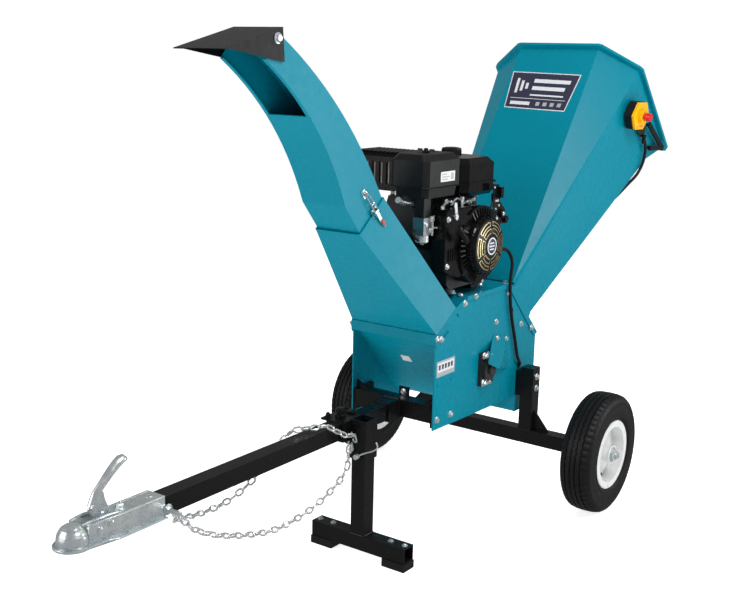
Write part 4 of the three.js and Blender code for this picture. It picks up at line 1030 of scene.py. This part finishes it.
def build_grille():
    plate = Shape()
    plate.lathe([(90, 186), (90, 193), (86.5, 199.4), (70, 201.9), (50, 204.5), (28, 205.2), (0.02, 205.8)],
                CRANK, RIGHT, 56)
    for turn in range(0, 360, 15):
        rib = [(90, -1.2, 170), (97.2, -1.1, 170), (96, -1.1, 182), (90, -1.2, 192)]
        plate.prism([round_crank(radius, turn + degrees, x) for radius, degrees, x in rib],
                    round_crank(92, turn + 1.2, 0) - round_crank(92, turn - 1.2, 0))
    plate.done("starter_plate", SOFT_PLASTIC)
    gold = Shape()
    for start, end in grille_windows(6):
        for outer, inner in GRILLE_ARCS:
            arc_bar(gold, outer, inner, start, end, 1.0)
        for (outer, _), (_, inner) in (GRILLE_ARCS[:2], GRILLE_ARCS[2:]):
            for degrees in (start, end):
                arc_bar(gold, outer, inner, degrees - 0.9, degrees + 0.9, 1.0, 1)
    gold.done("grille_edges", BRASS)
    # painted shade: matte dark strips fill the grille's windows and stand for the shaded openings, since the
    # dome under them is closed
    dark = Shape()
    for start, end in grille_windows(7.5):
        for outer, inner in ((77, 68), (55.5, 44)):
            arc_bar(dark, outer, inner, start, end, 0.25)
    dark.done("grille_slot_painted_shade", RUBBER)
    badge = Shape()
    badge.lathe([(30, 203), (30, 206.8), (28.5, 207.6), (0.02, 207.8)], CRANK, RIGHT, 40)
    badge.slot_index = 1
    badge.loop_lathe([(24, 207.4), (28.2, 207.4), (28.2, 208.4), (24, 208.4)], CRANK, RIGHT, 40)
    for low, high, half in ((8, 12, 13), (-2, 2, 17), (-12, -8, 13)):
        badge.block((207.6, CRANK_Y - half, CRANK_Z + low), (208.4, CRANK_Y + half, CRANK_Z + high))
    badge.done("starter_badge", [PLAQUE_BLUE, STICKER_WHITE])


def build_cowl():
    """Fins and folded edges on the fan shroud, and its bolts."""
    fins = Shape()
    for degrees in [*range(14, 126, 8), *range(150, 262, 8)]:
        root, tip = round_crank(99, degrees, 164.5), round_crank(124, degrees, 164.5)
        width = round_crank(110, degrees + 1.1, 0) - round_crank(110, degrees - 1.1, 0)
        fins.prism([root, tip, tip + RIGHT * 1.6, root + RIGHT * 7.5], width)
    for y in range(-506, -452, 13):
        fins.prism([(157.6, y, 900), (157.6, y, 940), (161.4, y, 938), (161.4, y, 902)], REAR * 5)
    edge = [(-528.5, 872), (-528.5, 960), (-528.5, 1040), (-507, 1061), (-440, 1062), (-384, 1061)]
    fins.pipe([(158, y, z) for y, z in edge], 40, 2.4)
    fins.done("cowl_fins", GLOSS_BLACK)
    bolts = Shape()
    for place in ((163, -304, 812), (163, -214, 880), (158, -512, 886), (158, -512, 1034),
                  (163, -226, 1010)):
        bolts.bolt(place, RIGHT, 11, 5)
    for y in (-410, -238):
        for x in (120, -120):
            bolts.bolt((x, y, 781), UP, 14, 8)
    bolts.done("engine_bolts", ZINC)


def build_grip():
    """The rounded handle of the recoil starter."""
    handle = Shape()
    centre, along, across = Vector((190, -473, 986)), Vector((0, 0.72, -0.69)), Vector((0, 0.69, 0.72))
    section = [(math.cos(t) ** 3 * 0.25 + math.cos(t) * 0.75, math.sin(t))
               for t in (math.tau * k / 16 for k in range(16))]
    stations = ((-39, 0.7), (-35, 0.95), (-20, 1.0), (0, 0.9), (20, 1.0), (35, 0.95), (39, 0.7))
    handle.rings([[centre + along * place + (across * 13 * a + RIGHT * 7.5 * b) * grow for a, b in section]
                  for place, grow in stations])
    for place in (-24, -12, 0, 12, 24):
        x, y, z = centre + along * place
        handle.block((x + 7, y - 8, z - 1.4), (x + 8.6, y + 8, z + 1.4))
    grip = handle.done("starter_handle", SOFT_PLASTIC, "starter", bevel=0.0008)
    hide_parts("starter_grip")


def spring(shape, start, end, radius, wire, turns):
    start, end = Vector(start), Vector(end)
    first, second, _ = frame_of(end - start)
    coil = on_circle(radius, 10) * turns + [(radius, 0)]
    points = [start.lerp(end, i / (turns * 10)) + first * a + second * b for i, (a, b) in enumerate(coil)]
    shape.tube(points, wire, 6)


def build_linkage():
    """Throttle arm, governor rod and springs over the shroud, and the small parts of the carburettor."""
    plates = Shape()
    plates.slab(109, [(-490, 1066), (-300, 1064), (-276, 1072), (-290, 1086), (-470, 1088)], 3)
    plates.done("control_plate", SHEET_BLACK)
    bright = Shape()
    bright.pipe([(116, -480, 1064), (118, -462, 1082), (118, -430, 1076), (116, -398, 1086),
                 (116, -372, 1078)], 24, 3.0)
    bright.slab(113, [(-372, 1094), (-352, 1092), (-356, 1060), (-368, 1058)], 3)
    spring(bright, (117, -350, 1068), (117, -300, 1074), 4.2, 1.1, 9)
    bright.tube([(115, -300, 1074), (118, -276, 1084), (116, -268, 1078)], 2.6)
    for y, z in ((-477, 1062), (-455, 1080), (-425, 1074), (-364, 1084), (-313, 1068), (-290, 1074)):
        bright.bolt((112, y, z), RIGHT, 10, 5)
    bright.tube([(123, -548, 985), (123, -548, 1040)], 3.6, 10)
    for y, z, across in ((-548, 1036, 12), (-584, 1022, 12), (-553, 1000, 9)):
        bright.bolt((120, y, z), RIGHT, across, 5)
    bright.tube([(121, -548, 1010), (130, -520, 1006), (130, -508, 1010)], 2.8)
    bright.slab(121, [(-560, 1046), (-536, 1046), (-540, 1030), (-556, 1030)], 2.4)
    bright.lathe([(17, 0), (21, 3), (21, 22), (19, 26), (12, 28)], (100, -569, 963), UP, 32)
    bright.bolt((100, -569, 963), -UP, 10, 5)
    intake = [(30, -604, 1092), (30, -585, 1084), (32, -548, 1076), (34, -500, 1072)]
    bright.pipe(intake, 16, 10, 12)
    bright.block((8, -590, 1104), (12, -548, 1116))
    bright.done("control_linkage", ZINC)


def build_hoses():
    hoses = Shape()
    for radius, sides, count, route in (
            (4, 10, 20, [(60, -560, 1010), (84, -600, 1000), (96, -606, 985), (100, -590, 972)]),
            (3.2, 8, 30, [(150, -232, 1090), (158, -250, 1050), (150, -300, 1050), (132, -360, 1052),
                          (120, -420, 1050)]),
            (3.6, 8, 20, [(156, -200, 1000), (166, -196, 970), (166, -190, 940), (150, -172, 905)])):
        hoses.pipe(route, count, radius, sides)
    hoses.done("engine_hoses", RUBBER)


def build_switch_panel():
    plate = Shape()
    plate.slab(158, [(-246, 1124), (-206, 1120), (-196, 1062), (-160, 1034), (-150, 985), (-236, 990)], 3)
    plate.block((161, -216, 1076), (176, -200, 1112))
    plate.lathe([(14, 0), (14, 10), (12, 12)], (161, -190, 1022), RIGHT, 28)
    plate.lathe([(12, 0), (12, 8), (9, 10)], (161, -160, 1000), RIGHT)
    plate.done("switch_plate", SOFT_PLASTIC, bevel=0.0008)
    bright = Shape()
    bright.block((161, -234, 1064), (165, -212, 1071))
    bright.block((161, -236, 1004), (165, -216, 1013))
    bright.lathe([(7, 0), (7, 2), (4, 3)], (171, -190, 1022), RIGHT)
    bright.tube([(174, -198, 1022), (174, -182, 1022)], 1.6)
    for y, z in ((-238, 1112), (-226, 1040), (-206, 1050), (-166, 1020)):
        bright.screw((161, y, z), RIGHT, 4.5)
    bright.done("switch_metal", ZINC)


def build_tank_bracket():
    """The folded plate under the fuel tank's front edge."""
    bracket = Shape()
    bracket.prism([(-40, -384, 1022), (104, -384, 1022), (104, -384, 1091), (-56, -384, 1091)], REAR * 5)
    bracket.block((-56, -384, 1086), (104, -330, 1090.2))
    for x in (-30, 30, 90):
        bracket.bolt((x, -384, 1060), -REAR, 13, 6)
    bracket.done("tank_bracket", CAST_BLACK, bevel=0.001)


def build_air_cleaner_details():
    """A sticker with plain bars, the seam round the cover and the wing nut on top."""
    pale = Shape()
    pale.block((130.2, -520, 1148), (130.6, -438, 1179))
    pale.slot_index = 1
    for y0, y1, z0, z1 in ((-514, -478, 1153, 1157), (-514, -470, 1161, 1165), (-514, -484, 1169, 1173),
                           (-462, -446, 1153, 1173)):
        pale.block((130.5, y0, z0), (130.8, y1, z1))
    pale.done("air_cleaner_sticker", [STICKER_WHITE, PLAQUE_GREY])
    seam = Shape()
    corner = 16
    x0, x1, y0, y1 = -11, 131, -598, -395
    outline = [(x0 + corner, y0), (x1 - corner, y0), (x1, y0 + corner), (x1, y1 - corner),
               (x1 - corner, y1), (x0 + corner, y1), (x0, y1 - corner), (x0, y0 + corner)]
    seam.tube([(x, y, 1133) for x, y in outline], 2.2, closed=True)
    seam.lathe([(12, 0), (12, 4), (7, 8), (7, 12), (5, 14)], (60, -500, 1233), UP, 20)
    for left in (30, 74):
        seam.block((left, -503, 1238), (left + 16, -497, 1245))
    seam.done("air_cleaner_seam", SOFT_PLASTIC, bevel=0.0006)


def build_top_details():
    """Ribs on the muffler's guard, and the fluted edge and lid of the fuel cap."""
    ribs = Shape()
    for x in range(-182, -6, 16):
        ribs.block((x, -536, 1227.5), (x + 8, -408, 1230.5))
    ribs.done("guard_ribs", SHEET_BLACK, bevel=0.0006)
    cap = Shape()
    for x, y in on_circle(31, 30):
        cap.tube([(60 + x, y - 350, 1217), (60 + x, y - 350, 1235)], 1.7, 6)
    cap.lathe([(24, 0), (24, 1.2), (20, 2.2), (0.02, 2.4)], (60, -350, 1240), UP, 32)
    cap.done("fuel_cap_ribs", SOFT_PLASTIC, "filler_cap")


add_camera()
add_studio()
add_floor()
dress_cad_nodes()
for label, side in (("left", -1), ("right", 1)):
    build_tyre(label, side)
    build_wheel_details(label, side)
build_chain("safety_chain_left", LEFT_CHAIN)
build_chain("safety_chain_right", RIGHT_CHAIN)
build_chain_fittings()
build_frame_fasteners()
build_welds()
build_foot_bolts()
build_coupler_details()
build_coupler_lever()
build_body_fasteners()
build_plate_details()
build_stickers()
build_latch()
build_chute_details()
build_plaque()
build_stop_details()
build_stop_cable()
build_grille()
build_cowl()
build_grip()
build_linkage()
build_hoses()
build_switch_panel()
build_tank_bracket()
build_air_cleaner_details()
build_top_details()
